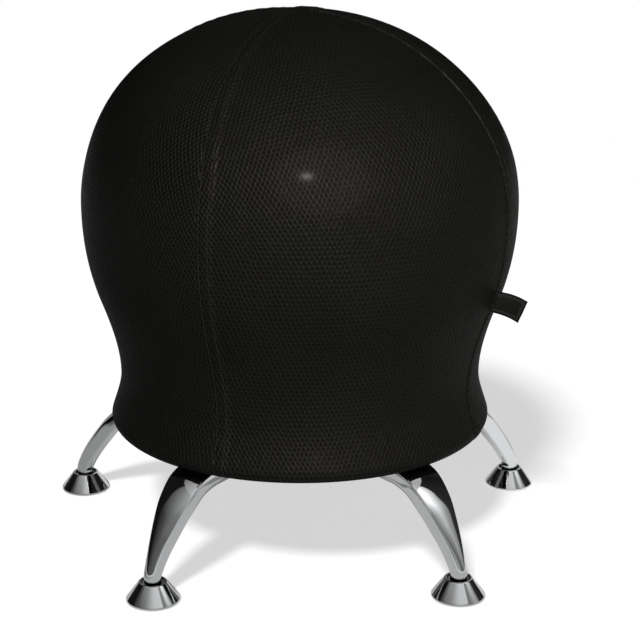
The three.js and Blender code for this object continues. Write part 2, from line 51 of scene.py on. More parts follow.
QUARTER = math.pi / 2
hair = 0.05 * MM  # too small a distance to show
sharp_angle = math.radians(35)  # edges sharper than this aren't shaded smooth


def levels(node):
    """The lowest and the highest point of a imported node."""
    return [corner.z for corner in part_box(node)]


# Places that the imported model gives
pan_low, pan_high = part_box("seat_pan")
bell_low, bell_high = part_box("foot_bell_back")
plug_low, plug_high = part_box("air_plug")
cover_bottom, seat_top = levels("seat_cover")
foot_bottom, leg_top = levels("leg_back")
tab_top = levels("side_tab")[1]
bell_radius = (bell_high.x - bell_low.x) / 2
seat_axis = Vector(((pan_low.x + pan_high.x) / 2, (pan_low.y + pan_high.y) / 2, 0))
foot_reach = (bell_low.y + bell_high.y) / 2 - seat_axis.y

leg_names = ["back", "left", "front_left", "front_right", "right"]  # anticlockwise
leg_turns = [index * TURN / len(leg_names) for index in range(len(leg_names))]

# The seat's form
fit_gap = 0.3 * MM
crown_radius = 239.2 * MM
crown_height = 373.2 * MM
crown_squareness = 2.05
waist_radius = 201.6 * MM
waist_height = 183 * MM
leaving_height = 272.2 * MM  # where the cloth leaves the ball
leaving_radius = 222.1 * MM
leaving_slope = 0.3707  # of the ball there, radius over height
rim_circle = 202 * MM
rim_height = 133.8 * MM
rim_wrap = 11.3 * MM
rim_leave_turn = math.radians(18)  # where the cloth leaves the rim, above level
cover_thickness = 3 * MM
cover_edge = 174.2 * MM
gore_count = 4
gore_turn = TURN / gore_count
first_seam = math.radians(-115)
tab_seam = first_seam + gore_turn
ball_slack = 1.2 * MM
ball_radius = crown_radius - cover_thickness - ball_slack
ball_squareness = 2.1
ball_flattening = 4.6 * MM
ball_foot = pan_low.z + 3.3 * MM
crown_lean = 4.6 * MM  # how far the soft dome leans to the left at its top
lean_start_share = 0.18  # of the dome's rise
lean_end_share = 0.78
crown_sink = 1.2 * MM  # how far its top is drawn down


# Mesh tools

def eased(share):
    """A share of the way, kept from nothing to one, that starts and ends gently."""
    share = np.clip(share, 0, 1)
    return share ** 2 * (3 - 2 * share)


def unit(vectors):
    """Vectors of length one in the same directions."""
    return vectors / np.linalg.norm(vectors, axis=-1, keepdims=True)


def lengths_along(line):
    """How far along a line of points each point lies."""
    return np.concatenate([[0], np.cumsum(np.linalg.norm(np.diff(line, axis=0), axis=1))])


def interpolated(places, known, points):
    """Points at places along a line whose points lie at known places."""
    return np.stack([np.interp(places, known, column) for column in points.T], -1)


def loft(rings, wrapped=False):
    """Points and faces of a surface through equal rings; wrapped joins the last to the first."""
    rings = np.asarray(rings, float)
    count, size = rings.shape[:2]
    starts = np.arange(count if wrapped else count - 1)[:, None] * size
    nexts = (starts + size) % (count * size)
    here = np.arange(size)
    beyond = (here + 1) % size
    faces = np.stack([starts + here, starts + beyond, nexts + beyond, nexts + here], -1)
    return rings.reshape(-1, 3), faces.reshape(-1, 4)


def round_axis(reach, turns, height):
    """Points at a reach and a turn about the Z axis, at a height."""
    return np.stack([reach * np.cos(turns), reach * np.sin(turns), height + 0 * turns], -1)


def revolve(profile, count):
    """Rings of a [radius, height] profile turned about the Z axis."""
    profile = np.asarray(profile, float)
    return round_axis(profile[:, :1], np.arange(count) * TURN / count, profile[:, 1:2])


def filleted(profile, size, steps=4):
    """A profile with its corners rounded off over size, or over a corner's own third value."""
    longest = 0.45  # share of a side that one rounding may take
    made = [tuple(profile[0][:2])]
    for before, corner, after in zip(profile, profile[1:], profile[2:]):
        reach = corner[2] if len(corner) > 2 else size
        here = Vector(corner[:2])
        sides = [Vector(point[:2]) - here for point in (before, after)]
        ends = [here + side.normalized() * min(reach, longest * side.length) for side in sides]
        for step in range(steps + 1):
            share = step / steps
            point = ends[0] * (1 - share) ** 2 + ends[1] * share ** 2
            made.append(tuple(point + here * 2 * share * (1 - share)))
    made.append(tuple(profile[-1][:2]))
    return made


def mesh_of(name, points, faces, corner_values=None):
    """A mesh with its doubled points joined and its faces pointing out."""
    mesh = bpy.data.meshes.new(name)
    mesh.from_pydata(points.tolist(), [], faces.tolist())
    if corner_values is not None:
        label, values = corner_values
        layer = mesh.attributes.new(label, "FLOAT_VECTOR", "CORNER")
        layer.data.foreach_set("vector", np.asarray(values, np.float32).ravel())
    work = bmesh.new()
    work.from_mesh(mesh)
    bmesh.ops.remove_doubles(work, verts=work.verts, dist=1e-7)
    bmesh.ops.recalc_face_normals(work, faces=work.faces)
    work.to_mesh(mesh)
    work.free()
    mesh.polygons.foreach_set("use_smooth", [True] * len(mesh.polygons))
    mesh.set_sharp_from_angle(angle=sharp_angle)
    return mesh


def lofted(name, rings, wrapped=False):
    """One mesh through rings."""
    return mesh_of(name, *loft(rings, wrapped))


def turned(name, profile, count, closed=True):
    """A mesh turned from a profile about the Z axis; a closed profile ends where it starts."""
    return lofted(name, revolve(profile[:-1] if closed else profile, count), closed)


def lofted_parts(name, parts):
    """One mesh of many separate parts, each with as many rings and points as the first."""
    made = [loft(rings) for rings in parts]
    size = len(made[0][0])
    return mesh_of(name, np.concatenate([points for points, _ in made]),
                   np.concatenate([faces + size * k for k, (_, faces) in enumerate(made)]))


def capped(rings):
    """Rings with their ends closed by a ring drawn to one point."""
    size = rings.shape[1]
    ends = [np.repeat(ring.mean(0)[None, None], size, 1) for ring in (rings[0], rings[-1])]
    return np.concatenate([ends[0], rings, ends[1]])


def put_in_scene(name, data):
    """A new object that holds the data."""
    made = bpy.data.objects.new(name, data)
    bpy.context.scene.collection.objects.link(made)
    return made


def add_piece(name, mesh, material, slot, body="chair", stands_for=()):
    """Puts a mesh in the scene as a piece of one body, in place of CAD nodes."""
    piece = put_in_scene(name, mesh)
    mesh.materials.clear()
    mesh.materials.append(material)
    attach(piece, body)
    if stands_for:
        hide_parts(*stands_for)
    return piece


def about_seat(points, turn=0.0):
    """Points given from the seat's axis, turned about it and set in the chair's frame."""
    c, s = math.cos(turn), math.sin(turn)
    points = np.asarray(points, float)
    x = points[..., 0] * c - points[..., 1] * s + seat_axis.x
    y = points[..., 0] * s + points[..., 1] * c + seat_axis.y
    return np.stack([x, y, points[..., 2]], -1)


def leaned(points):
    """Points of the cover or ball as the photograph shows its dome, leaning to the left."""
    points = np.array(points, float)
    rise = (points[..., 2] - crown_height) / (seat_top - crown_height)
    share = (rise - lean_start_share) / (lean_end_share - lean_start_share)
    points[..., 0] -= crown_lean * eased(share)
    points[..., 2] -= crown_sink * np.clip(rise, 0, 1) ** 4
    return points


def drilled(name, mesh, places, radius, low, high):
    """The mesh with upright round holes bored at the given places."""
    drill_sides = 40
    drill = revolve([(0, low), (radius, low), (radius, high), (0, high)], drill_sides)
    drills = lofted_parts("drill", [drill + [place[0], place[1], 0] for place in places])
    cutter, blank = put_in_scene("drill", drills), put_in_scene(name, mesh)
    cut = blank.modifiers.new("drill", "BOOLEAN")
    cut.operation = "DIFFERENCE"
    cut.solver = "EXACT"
    cut.object = cutter
    bpy.context.view_layer.update()
    graph = bpy.context.evaluated_depsgraph_get()
    made = bpy.data.meshes.new_from_object(blank.evaluated_get(graph))
    made.set_sharp_from_angle(angle=sharp_angle)
    for item in (cutter, blank):
        bpy.data.objects.remove(item)
    return made


# Materials

def linear(colour):
    """An sRGB hex colour as linear red, green, blue and alpha."""
    parts = [int(colour[i:i + 2], 16) / 255 for i in (1, 3, 5)]
    return [p / 12.92 if p <= 0.04045 else ((p + 0.055) / 1.055) ** 2.4 for p in parts] + [1.0]


def feed(tree, node, inputs):
    """Sets a node's inputs, in their order or by name; each is a value or a feeding socket."""
    for key, value in dict(inputs if isinstance(inputs, dict) else enumerate(inputs)).items():
        if isinstance(value, bpy.types.NodeSocket):
            tree.links.new(value, node.inputs[key])
        else:
            node.inputs[key].default_value = value


def add_node(tree, kind, inputs=(), out=0, **settings):
    """Adds one shader node and gives one of its outputs, if it has any. A MapRange takes its
    value, the low and high of what comes in, and the low and high of what goes out."""
    made = tree.nodes.new("ShaderNode" + kind)
    for key, value in settings.items():
        setattr(made, key, value)
    feed(tree, made, inputs)
    return made.outputs[out] if made.outputs else None


def new_material(name, colour, roughness, **more):
    """A material with one principled shader. more sets its other sockets by name."""
    material = bpy.data.materials.new(name)
    material.use_nodes = True
    shader = material.node_tree.nodes["Principled BSDF"]
    plain = {key.replace("_", " "): value for key, value in more.items()}
    feed(material.node_tree, shader,
         {"Base Color": linear(colour), "Roughness": roughness, **plain})
    return material, material.node_tree, shader


def spacer_mesh():
    """Polyester spacer mesh, warp-knitted: matt black yarn round rows of open holes, so the
    cloth looks grainy close by and soft from afar, with a faint sheen at its turned edges.
    The holes are coloured darker than the yarn: painted shade for the depth of each hole."""
    hole_pitch, row_pitch = 5.0, 4.9  # millimetres, along a row and from row to row
    pulled = 3.2  # millimetres, how far the rows wander
    # the holes' colour is painted shade, darker than the same black yarn seen in the open
    yarn_colour, hole_shade_colour = "#1b1b19", "#111110"
    material, tree, shader = new_material(
        "spacer_mesh", yarn_colour, 0.5, Specular_IOR_Level=0.01,
        Coat_Weight=0.002, Coat_Roughness=0.14,
    )
    places = add_node(tree, "TexCoord", out="Object")
    pull, uneven, fibre, patchy = (
        add_node(tree, "TexNoise",
                 {"Vector": places, "Scale": 1 / (cloud * MM), "Detail": detail}, out)
        for cloud, detail, out in [(14, 1.0, "Color"), (8, 2.0, 0), (0.7, 2.0, 0), (70, 2.0, 0)]
    )  # clouds in millimetres
    flat_places = add_node(tree, "Attribute", out="Vector", attribute_name="knit")
    knit = add_node(tree, "VectorMath", [pull, (pulled, pulled, 0), flat_places],
                    operation="MULTIPLY_ADD")
    waves = [(1 / hole_pitch, 0.5 / row_pitch, 1.0), (1 / hole_pitch, -0.5 / row_pitch, 1.0),
             (0, 1 / row_pitch, 0.45)]  # waves across and down a millimetre, and their weight
    total = 0.0
    for across, down, weight in waves:
        phase = add_node(tree, "VectorMath", [knit, (TURN * across, TURN * down, 0)], "Value",
                         operation="DOT_PRODUCT")
        wave = add_node(tree, "Math", [phase], operation="COSINE")
        total = add_node(tree, "Math", [wave, weight, total], operation="MULTIPLY_ADD")
    openness = add_node(tree, "MapRange", [uneven, 0.3, 0.7, 0.35, 1.35])
    total = add_node(tree, "Math", [total, openness], operation="MULTIPLY")
    hole = add_node(tree, "MapRange", [total, -1.3, 1.6], interpolation_type="SMOOTHSTEP")
    shade = add_node(tree, "MapRange", [patchy, 0.3, 0.7, 0.85, 1.12])
    lit = add_node(tree, "VectorMath", {0: linear(yarn_colour)[:3], "Scale": shade},
                   operation="SCALE")
    # the painted hole shade is mixed in wherever the knit opens into a hole
    colour = add_node(tree, "Mix", {0: hole, 6: lit, 7: linear(hole_shade_colour)}, 2,
                      data_type="RGBA")
    dulled = add_node(tree, "MapRange", [hole, 0, 1, 0.38, 0.75])
    relief = add_node(tree, "Math", [fibre, -0.25, hole], operation="MULTIPLY_ADD")
    bump = add_node(tree, "Bump", {"Height": relief, "Strength": 0.8, "Distance": 1.1 * MM},
                    invert=True)
    feed(tree, shader, {"Base Color": colour, "Roughness": dulled, "Normal": bump})
    return material


def plain_finish(name, colour, roughness, grain_mm, depth_mm, **more):
    """A finish of one colour with a grain, given by its width and depth in millimetres. The
    finest are drawn a few times too coarse so that they show."""
    material, tree, shader = new_material(name, colour, roughness, **more)
    places = add_node(tree, "TexCoord", out="Object")
    grain = add_node(tree, "TexNoise", {"Vector": places, "Scale": 1 / (grain_mm * MM),
                                        "Detail": 3.0})
    worn = add_node(tree, "MapRange", [grain, 0, 1, roughness * 0.85, min(1.0, roughness * 1.15)])
    bump = add_node(tree, "Bump", {"Height": grain, "Distance": depth_mm * MM})
    feed(tree, shader, {"Roughness": worn, "Normal": bump})
    return material


def polished_chrome():
    """Polished chrome plate on steel: a clear bright mirror with the faintest haze."""
    haze_width = 22  # millimetres
    material, tree, shader = new_material("polished_chrome", "#c8c9ca", 0.05, Metallic=1.0)
    places = add_node(tree, "TexCoord", out="Object")
    haze = add_node(tree, "TexNoise", {"Vector": places, "Scale": 1 / (haze_width * MM),
                                       "Detail": 4.0})
    spread = add_node(tree, "MapRange", [haze, 0.35, 0.7, 0.035, 0.07])
    feed(tree, shader, {"Roughness": spread})
    return material


def satin_tape():
    """Satin-woven polyester tape: smooth black face with thick edges, a lighter woven band
    inside them and fine ribs across, drawn three times too coarse so that they show."""
    rib_pitch = 1.2  # millimetres
    material, tree, shader = new_material("satin_woven_tape", "#0e0e0e", 0.5,
                                          Specular_IOR_Level=0.3)
    weave = add_node(tree, "Attribute", out="Vector", attribute_name="weave")
    from_fold, from_edge, _ = add_node(tree, "SeparateXYZ", [weave]).node.outputs
    border = add_node(tree, "Math", [from_edge, from_fold], operation="MINIMUM")
    band, inside = (
        add_node(tree, "MapRange", [border, start, end], interpolation_type="SMOOTHSTEP")
        for start, end in [(1.6, 2.1), (4.2, 4.8)]
    )  # millimetres from the nearest edge
    woven = add_node(tree, "Math", [inside, -0.75, band], operation="MULTIPLY_ADD")
    rib = add_node(tree, "Math", [from_fold, TURN / rib_pitch], operation="MULTIPLY")
    rib = add_node(tree, "Math", [rib], operation="SINE")
    woven = add_node(tree, "Math", [rib, 0.12, woven], operation="MULTIPLY_ADD")
    colour = add_node(tree, "Mix", {0: woven, 6: linear("#090909"), 7: linear("#2a2a28")}, 2,
                      data_type="RGBA")
    bump = add_node(tree, "Bump", {"Height": rib, "Strength": 0.6, "Distance": 0.1 * MM})
    feed(tree, shader, {"Base Color": colour, "Normal": bump})
    return material


cover_cloth = spacer_mesh()
chrome = polished_chrome()
# Zinc plate on steel: grey metal whose shine is soft and a little broken
zinc = plain_finish("bright_zinc_plate", "#b9bcbf", 0.32, 1.2, 0.02, Metallic=1.0)
# Blown vinyl: smooth grey skin with one broad, dull shine
ball_vinyl = plain_finish("moulded_vinyl", "#4b4f54", 0.42, 0.8, 0.03)
# Moulded white vinyl: milky, with a soft shine
plug_vinyl = plain_finish("white_vinyl", "#d8d6cf", 0.45, 1.0, 0.02)
# Moulded plastic: near black, with a waxy shine
ring_plastic = plain_finish("moulded_polypropylene", "#202022", 0.55, 0.6, 0.03)
# Baked powder: black skin, faintly pebbled
pan_coat = plain_finish("black_powder_coat", "#1b1c1e", 0.5, 0.9, 0.05)
# Moulded nylon: charcoal, satin
stem_nylon = plain_finish("moulded_nylon", "#232323", 0.55, 0.5, 0.02)
# Moulded rubber: dead matt black
foot_rubber = plain_finish("moulded_rubber", "#1a1a1a", 0.85, 0.6, 0.04)
# Plain-woven tape: matt black with a fine tooth
tape_cloth = plain_finish("woven_polyester_tape", "#1c1c1b", 0.8, 0.5, 0.10,
                          Specular_IOR_Level=0.15)
tab_cloth = satin_tape()
# Twisted thread set in resin: charcoal, a little slick
sewing_thread = plain_finish("bonded_polyester_thread", "#2e2e2c", 0.5, 0.3, 0.04,
                             Specular_IOR_Level=0.3)
# Yarn braided round rubber: dull charcoal with a rough face
braided_cord = plain_finish("braided_elastic", "#2a2a2a", 0.85, 0.6, 0.15)


# Cover

seam_lift = 1.2 * MM
seam_reach = 11.0 * MM  # from a seam's middle to the plain cloth
seam_fold = 6.9 * MM  # from its middle to the band's folded edge
stitch_line = 5.2 * MM  # from its middle to each of its two lines of stitches
stitch_groove = 0.45 * MM
gore_swell = 0.7 * MM
pleat_count = 60
pleat_height = 1.3 * MM
pucker_pitch = 15 * MM
pucker_height = 0.3 * MM
pucker_width = 2.6 * MM

# Distances from a seam's middle at which the cloth has a column of points near it.
seam_columns = np.array([
    -11, -9.6, -8.6, -7.8, -7.2, -6.8, -6.5, -6.2, -5.8, -5.4, -5.2, -5.0, -4.4, -2.6, 0,
    2.6, 4.4, 5.0, 5.2, 5.4, 6.0, 6.8, 7.8, 8.8, 9.8, 11,
]) * MM
gore_steps = 58


def smooth_between(share, start, end, start_slope, end_slope):
    """A value from start to end with the given slopes, at a share of the way."""
    s2, s3 = share ** 2, share ** 3
    return (
        start * (2 * s3 - 3 * s2 + 1) + start_slope * (s3 - 2 * s2 + share)
        + end * (3 * s2 - 2 * s3) + end_slope * (s3 - s2)
    )


def dome_rows(radius, rise, steps):
    """Rows of a squared-ellipse dome from its pole to its widest ring."""
    turns = QUARTER * (1 - np.arange(steps) / steps)
    power = 2 / crown_squareness
    return np.stack([radius * np.abs(np.cos(turns)) ** power,
                     crown_height + rise * np.sin(turns) ** power], -1)


def ball_reach(height):
    """The ball's radius at a height below its widest ring."""
    drop = crown_height - ball_foot + ball_flattening
    depth = np.clip((crown_height - height) / drop, 0, 1)
    return ball_radius * (1 - depth ** ball_squareness) ** (1 / ball_squareness)


def cover_rows():
    """The cloth's outer face from the pole to its cut edge under the rim: radius and height."""
    steps = {"dome": 110, "ball": 34, "drawn": 32, "flare": 22, "wrap": 14, "under": 12}
    edge_rise = 1.5 * MM
    dome = dome_rows(crown_radius, seat_top - crown_height, steps["dome"])
    on_ball = np.linspace(crown_height, leaving_height, steps["ball"])[:-1]
    ball = [ball_reach(on_ball) + ball_slack + cover_thickness, on_ball]
    span = leaving_height - waist_height
    share = np.linspace(1, 0, steps["drawn"])[:-1]
    drawn = [smooth_between(share, waist_radius, leaving_radius, 0, leaving_slope * span),
             waist_height + share * span]
    leave_radius = rim_circle + rim_wrap * math.cos(rim_leave_turn)
    leave_height = rim_height + rim_wrap * math.sin(rim_leave_turn)
    span = waist_height - leave_height
    share = np.linspace(1, 0, steps["flare"])[:-1]
    flare = [smooth_between(share, leave_radius, waist_radius, -math.tan(rim_leave_turn) * span, 0),
             leave_height + share * span]
    turns = np.linspace(rim_leave_turn, -QUARTER, steps["wrap"])
    wrap = [rim_circle + rim_wrap * np.cos(turns), rim_height + rim_wrap * np.sin(turns)]
    share = np.linspace(0, 1, steps["under"])[1:]
    under = [rim_circle + share * (cover_edge - rim_circle),
             cover_bottom + edge_rise * np.minimum(share * 1.5, 1)]
    return np.concatenate([dome] + [np.stack(part, -1)
                                    for part in (ball, drawn, flare, wrap, under)])


def band_height(offset):
    """How far the cloth stands out at a distance from a seam's middle: a lapped band with a
    folded edge on one side, a soft shoulder on the other and a groove at each stitch line."""
    fold_run, shoulder_end, shoulder_run = 0.7 * MM, 10.4 * MM, 4 * MM
    tuck, tuck_width, tuck_depth = 7.6 * MM, 1.1 * MM, 0.5 * MM
    rise = np.minimum(eased((offset + seam_fold) / fold_run),
                      eased((shoulder_end - offset) / shoulder_run))
    grooves = sum(np.exp(-((offset - side * stitch_line) / stitch_groove) ** 2)
                  for side in (-1, 1))
    tucked = np.exp(-((offset + tuck) / tuck_width) ** 2)
    return seam_lift * rise - stitch_groove * grooves - tuck_depth * tucked


def cover_columns(radius):
    """Turns of the cloth's columns on a row of this radius, their distances from the nearest
    seam (its whole reach in a gore's open middle) and the share of its full width that fits."""
    reach_turn = min(seam_reach / max(radius, 1 * MM), 0.4 * gore_turn)
    open_turn = gore_turn - 2 * reach_turn
    turns, offsets = [], []
    for gore in range(gore_count):
        seam = first_seam + gore * gore_turn
        turns.extend(seam + seam_columns / seam_reach * reach_turn)
        offsets.extend(seam_columns)
        turns.extend(seam + reach_turn + open_turn * np.arange(1, gore_steps) / gore_steps)
        offsets.extend([seam_reach] * (gore_steps - 1))
    return np.array(turns), np.array(offsets), reach_turn * radius / seam_reach


def pleat(turns):
    """Height of the small gathers that the elastic draws into the hem."""
    wander = pleat_count * turns + 0.9 * np.sin(5 * turns)
    return pleat_height * (0.8 + 0.2 * np.sin(11 * turns)) * (0.5 + 0.5 * np.cos(wander))


def knit_places(radius, above_crown, from_middle, crown_arc):
    """Where a point lies in its flat gore: metres across its middle line and down it. Above
    the crown the rows and columns of the knit run straight over the dome."""
    lean = np.clip(above_crown / crown_arc, 0, 1) * QUARTER
    across = crown_radius * np.arcsin(np.cos(lean) * np.sin(from_middle))
    mean_radius = crown_arc / QUARTER
    up = mean_radius * np.arctan2(np.sin(lean), np.cos(lean) * np.cos(from_middle))
    below = above_crown <= 0
    across = np.where(below, radius * from_middle, across)
    return np.stack([across, -np.where(below, above_crown, up), 0 * across], -1)


def cover_mesh():
    """The sewn cover, four gores with lapped seams, turned under the rim, as one closed cloth.
    With it come its outer rings, its rows, their distances from the pole and its cut area."""
    rows = cover_rows()
    down = lengths_along(rows)
    heading = unit(np.gradient(rows, axis=0))
    normal = np.stack([-heading[:, 1], heading[:, 0]], -1)
    crown_arc = down[int(np.argmin(np.abs(rows[:, 1] - crown_height)))]
    under = rows[:, 1] < rim_height
    wrap_share = np.where(under, (rim_height - rows[:, 1]) / rim_wrap, 0).clip(0, 1)
    edge_share = np.where(under, (rim_circle - rows[:, 0]) / (rim_circle - cover_edge), 0)

    outer, inner, turn_rows = [], [], []
    for index, (radius, height) in enumerate(rows):
        turns, offsets, fit = cover_columns(radius)
        share = (turns - first_seam) % gore_turn / gore_turn
        swell = gore_swell * np.sin(math.pi * share) * radius / crown_radius
        pucker = pucker_height * np.cos(TURN * down[index] / pucker_pitch) * np.exp(
            -((np.abs(offsets) - stitch_line) / pucker_width) ** 2)
        lift = ((band_height(offsets) + pucker) * fit + swell) * (1 - wrap_share[index])
        gathers = pleat(turns) * eased(edge_share[index])
        for face, out in ((outer, lift), (inner, -cover_thickness + 0 * turns)):
            reach = np.maximum(radius + out * normal[index, 0], 0) if index else 0 * turns
            face.append(round_axis(reach, turns, height + out * normal[index, 1] + gathers))
        turn_rows.append(turns)
    last = len(rows) - 1
    inside = sorted(set(range(0, last, 3)) | {last}, reverse=True)
    order = np.array(list(range(len(rows))) + inside)
    points, faces = loft(leaned(about_seat(outer + [inner[index] for index in inside])))

    turns = np.array(turn_rows)
    columns = turns.shape[1]
    turns = np.concatenate([turns, turns[:, :1] + TURN], 1)
    gores, in_gore = np.divmod(np.arange(columns), columns // gore_count)
    before_fold = in_gore < np.sum(seam_columns < hair - seam_fold)
    middles = first_seam + (gores - before_fold + 0.5) * gore_turn
    corners = []
    for row_step, column_step in [(0, 0), (0, 1), (1, 1), (1, 0)]:
        row = order[row_step:len(order) - 1 + row_step]
        angle = turns[row][:, column_step:columns + column_step]
        corners.append(knit_places(rows[row, 0][:, None], (crown_arc - down[row])[:, None],
                                   angle - middles, crown_arc) / MM)
    mesh = mesh_of("mesh_cover", points, faces, ("knit", np.stack(corners, 2)))
    cut_area = float(np.sum(TURN * (rows[1:, 0] + rows[:-1, 0]) / 2 * np.diff(down)))
    return mesh, np.array(outer), rows, down, cut_area


cloth_mesh, cloth_rings, cloth_rows, cloth_lengths, cloth_area = cover_mesh()
cover = add_piece("mesh_cover", cloth_mesh, cover_cloth, "air_mesh", stands_for=["seat_cover"])


def strands(spots, level, out, thread):
    """Rings of short threads: each follows four spots, in the cloth's plane and out of it."""
    sides = np.arange(5) * TURN / 5
    swell_shares = np.array([0.35, 1, 1, 0.35])
    ring = (
        level[:, None, None] * np.cos(sides)[None, None, :, None]
        + out[:, None, None] * np.sin(sides)[None, None, :, None]
    ) * (thread * swell_shares)[None, :, None, None]
    return [capped(rings) for rings in spots[:, :, None, :] + ring]


def stitches_mesh():
    """Threads of the two rows of stitches along each seam, one short strand a stitch."""
    pitch, strand, thread, thread_rise = 3.4 * MM, 2.5 * MM, 0.33 * MM, 0.15 * MM
    start_radius = 14 * MM
    threads = []
    per_gore = cloth_rings.shape[1] // gore_count
    first_row = int(np.argmax(cloth_rows[:, 0] > start_radius))
    last_row = int(np.argmax(cloth_rows[:, 1] < rim_height - 0.8 * rim_wrap))
    for gore in range(gore_count):
        for side in (-1, 1):
            column = int(np.argmin(np.abs(seam_columns - side * stitch_line)))
            line = cloth_rings[first_row:last_row, gore * per_gore + column]
            along = lengths_along(line)
            starts = np.arange(0, along[-1] - strand, pitch)
            places = starts[:, None] + np.linspace(0, strand, 4)
            spots = interpolated(places, along, line)
            level = unit(np.cross([0.0, 0.0, 1.0], spots[:, 0]))
            out = np.cross(unit(spots[:, -1] - spots[:, 0]), level)
            out *= np.sign(np.sum(out * (spots[:, 0] - [0, 0, crown_height * 0.7]), 1))[:, None]
            threads += strands(spots + out[:, None, :] * thread_rise, level, out, thread)
    return lofted_parts("seam_stitches", leaned(about_seat(threads)))


add_piece("seam_stitches", stitches_mesh(), sewing_thread, "tape")


# Hem

hem_jaw = 9 * MM
elastic_radius = 1.5 * MM
hem_tape = 1.2 * MM
hem_fold = elastic_radius + fit_gap
hem_outside = hem_fold + hem_tape
hem_height = cover_bottom + hem_outside
hem_middle = cover_edge - fit_gap - elastic_radius


def hem_mesh(name, section):
    """A section carried round the seat and gathered with the cover's edge."""
    count = 480
    rings = revolve(section, count)
    rings[:, :, 2] += pleat(np.arange(count) * TURN / count)
    return lofted(name, about_seat(rings), wrapped=True)


def round_section(radius, turns):
    """Points of a round about the hem's cord."""
    return np.stack([hem_middle + radius * np.cos(turns), hem_height + radius * np.sin(turns)], -1)


def binding_mesh():
    """Binding tape: folded over the cover's edge, open outwards."""
    fold = np.linspace(-QUARTER, -3 * QUARTER, 9)
    jaw_end = cover_edge + hem_jaw
    return hem_mesh("hem_tape", [
        (jaw_end, hem_height - hem_outside), *round_section(hem_outside, fold),
        (jaw_end, hem_height + hem_outside), (jaw_end, hem_height + hem_fold),
        *round_section(hem_fold, fold[::-1]), (jaw_end, hem_height - hem_fold)])


def elastic_mesh():
    """Elastic cord, joined into a ring in the tape's fold."""
    return hem_mesh("elastic_cord", round_section(elastic_radius, np.arange(12) * TURN / 12))


hem = add_piece("hem_tape", binding_mesh(), tape_cloth, "tape", stands_for=["hem_binding"])
add_piece("elastic_cord", elastic_mesh(), braided_cord, "elastic", stands_for=["hem_elastic"])


# Side tab

tab_height = 23.5 * MM
tab_length = 32 * MM
tab_root = 1 * MM  # how far its ends reach into the seam
tab_thickness = 1.4 * MM
tab_layer = 0.6 * MM
tab_droop = 7.5 * MM
tab_bow = 1.2 * MM
tab_twist = math.radians(22)  # of its free end, about the top edge
tab_edge = 1.8 * MM  # width of its woven edges
tab_edge_rise = 0.15 * MM


def cloth_reach_at(height):
    """Radius of the cloth on a seam at a height below the crown."""
    below = cloth_rows[cloth_rows[:, 1] < crown_height][::-1]
    return np.interp(height, below[:, 1], below[:, 0]) + seam_lift


def tab_places(out, up, through):
    """Points of the tab: out from the cloth, up its width and through its thickness."""
    share = np.maximum(out, 0) / tab_length
    below = tab_height - up
    turn = tab_twist * share
    bow = tab_bow * np.sin(math.pi * share) * share
    return np.stack([
        cloth_reach_at(tab_top - below) + out,
        bow - below * np.sin(turn) + through * np.cos(turn),
        tab_top - below * np.cos(turn) - tab_droop * share ** 2 - through * np.sin(turn),
    ], -1)


def tab_mesh():
    """The folded strip: two layers of tape with thick woven edges, which meet in a round fold
    at the free end."""
    half = (tab_thickness - tab_layer) / 2
    straight = np.linspace(-tab_root, tab_length - half - tab_layer / 2, 22)
    bend = np.linspace(-QUARTER, QUARTER, 9)[1:-1]
    path = np.array([(x, -half) for x in straight]
                    + [(straight[-1] + half * math.cos(t), half * math.sin(t)) for t in bend]
                    + [(x, half) for x in straight[::-1]])
    heading = unit(np.gradient(path, axis=0))
    thin, thick = tab_layer / 2 - tab_edge_rise, tab_layer / 2
    outline = [(thick, tab_height / 2), (thick, tab_height), (-thick, tab_height),
               (-thick, tab_height - tab_edge + tab_edge_rise), (-thin, tab_height - tab_edge),
               (-thin, tab_height / 2), (-thin, tab_edge), (-thick, tab_edge - tab_edge_rise),
               (-thick, 0), (thick, 0), (thick, tab_height / 2)]
    outline = np.array(filleted(outline, 0.2 * MM, 2)[:-1])
    rings = capped(np.array([
        tab_places(x - outline[:, 0] * up, outline[:, 1], y + outline[:, 0] * along)
        for (x, y), (along, up) in zip(path, heading)
    ]))
    points, faces = loft(about_seat(rings, tab_seam))
    from_fold = (tab_length - np.concatenate([path[:1], path, path[-1:]])[:, :1]) / MM
    from_edge = np.minimum(outline[:, 1], tab_height - outline[:, 1]) / MM
    weave = np.stack(np.broadcast_arrays(from_fold, from_edge, 0.0), -1).reshape(-1, 3)
    return mesh_of("folded_tab", points, faces, ("weave", weave[faces]))


def tab_stitches_mesh():
    """A sewn rectangle on both faces of the tab, inside its woven edges."""
    pitch, strand, thread, inset = 2.6 * MM, 2.0 * MM, 0.24 * MM, 3.6 * MM
    far, high = tab_length - inset, tab_height - inset
    corners = [(inset, inset), (far, inset), (far, high), (inset, high), (inset, inset)]
    threads = []
    for face in (-1, 1):
        for start, end in zip(corners, corners[1:]):
            run = math.dist(start, end)
            count = int(run / pitch)
            spare = (run - (count - 1) * pitch - strand) / 2
            along = (spare + pitch * np.arange(count)[:, None] + np.linspace(0, strand, 4)) / run
            out, up = (a + along * (b - a) for a, b in zip(start, end))
            spots = tab_places(out, up, face * (tab_thickness / 2) + 0 * up)
            heading = unit(spots[:, -1] - spots[:, 0])
            outward = np.array([0.0, face, 0.0]) + 0 * heading
            threads += strands(spots, np.cross(heading, outward), outward, thread)
    return lofted_parts("tab_stitches", about_seat(threads, tab_seam))


tab = add_piece("folded_tab", tab_mesh(), tab_cloth, "woven_tab", stands_for=["side_tab"])
add_piece("tab_stitches", tab_stitches_mesh(), sewing_thread, "tape")


# Ball, air plug, edge ring and pan

pan_sheet = 3 * MM
ring_radius = 8 * MM
screw_hole = 4.6 * MM
screw_rows = ["inner", "outer"]
screw_reaches = [sum(corner.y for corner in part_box(f"leg_screw_back_{row}")) / 2 - seat_axis.y
                 for row in screw_rows]


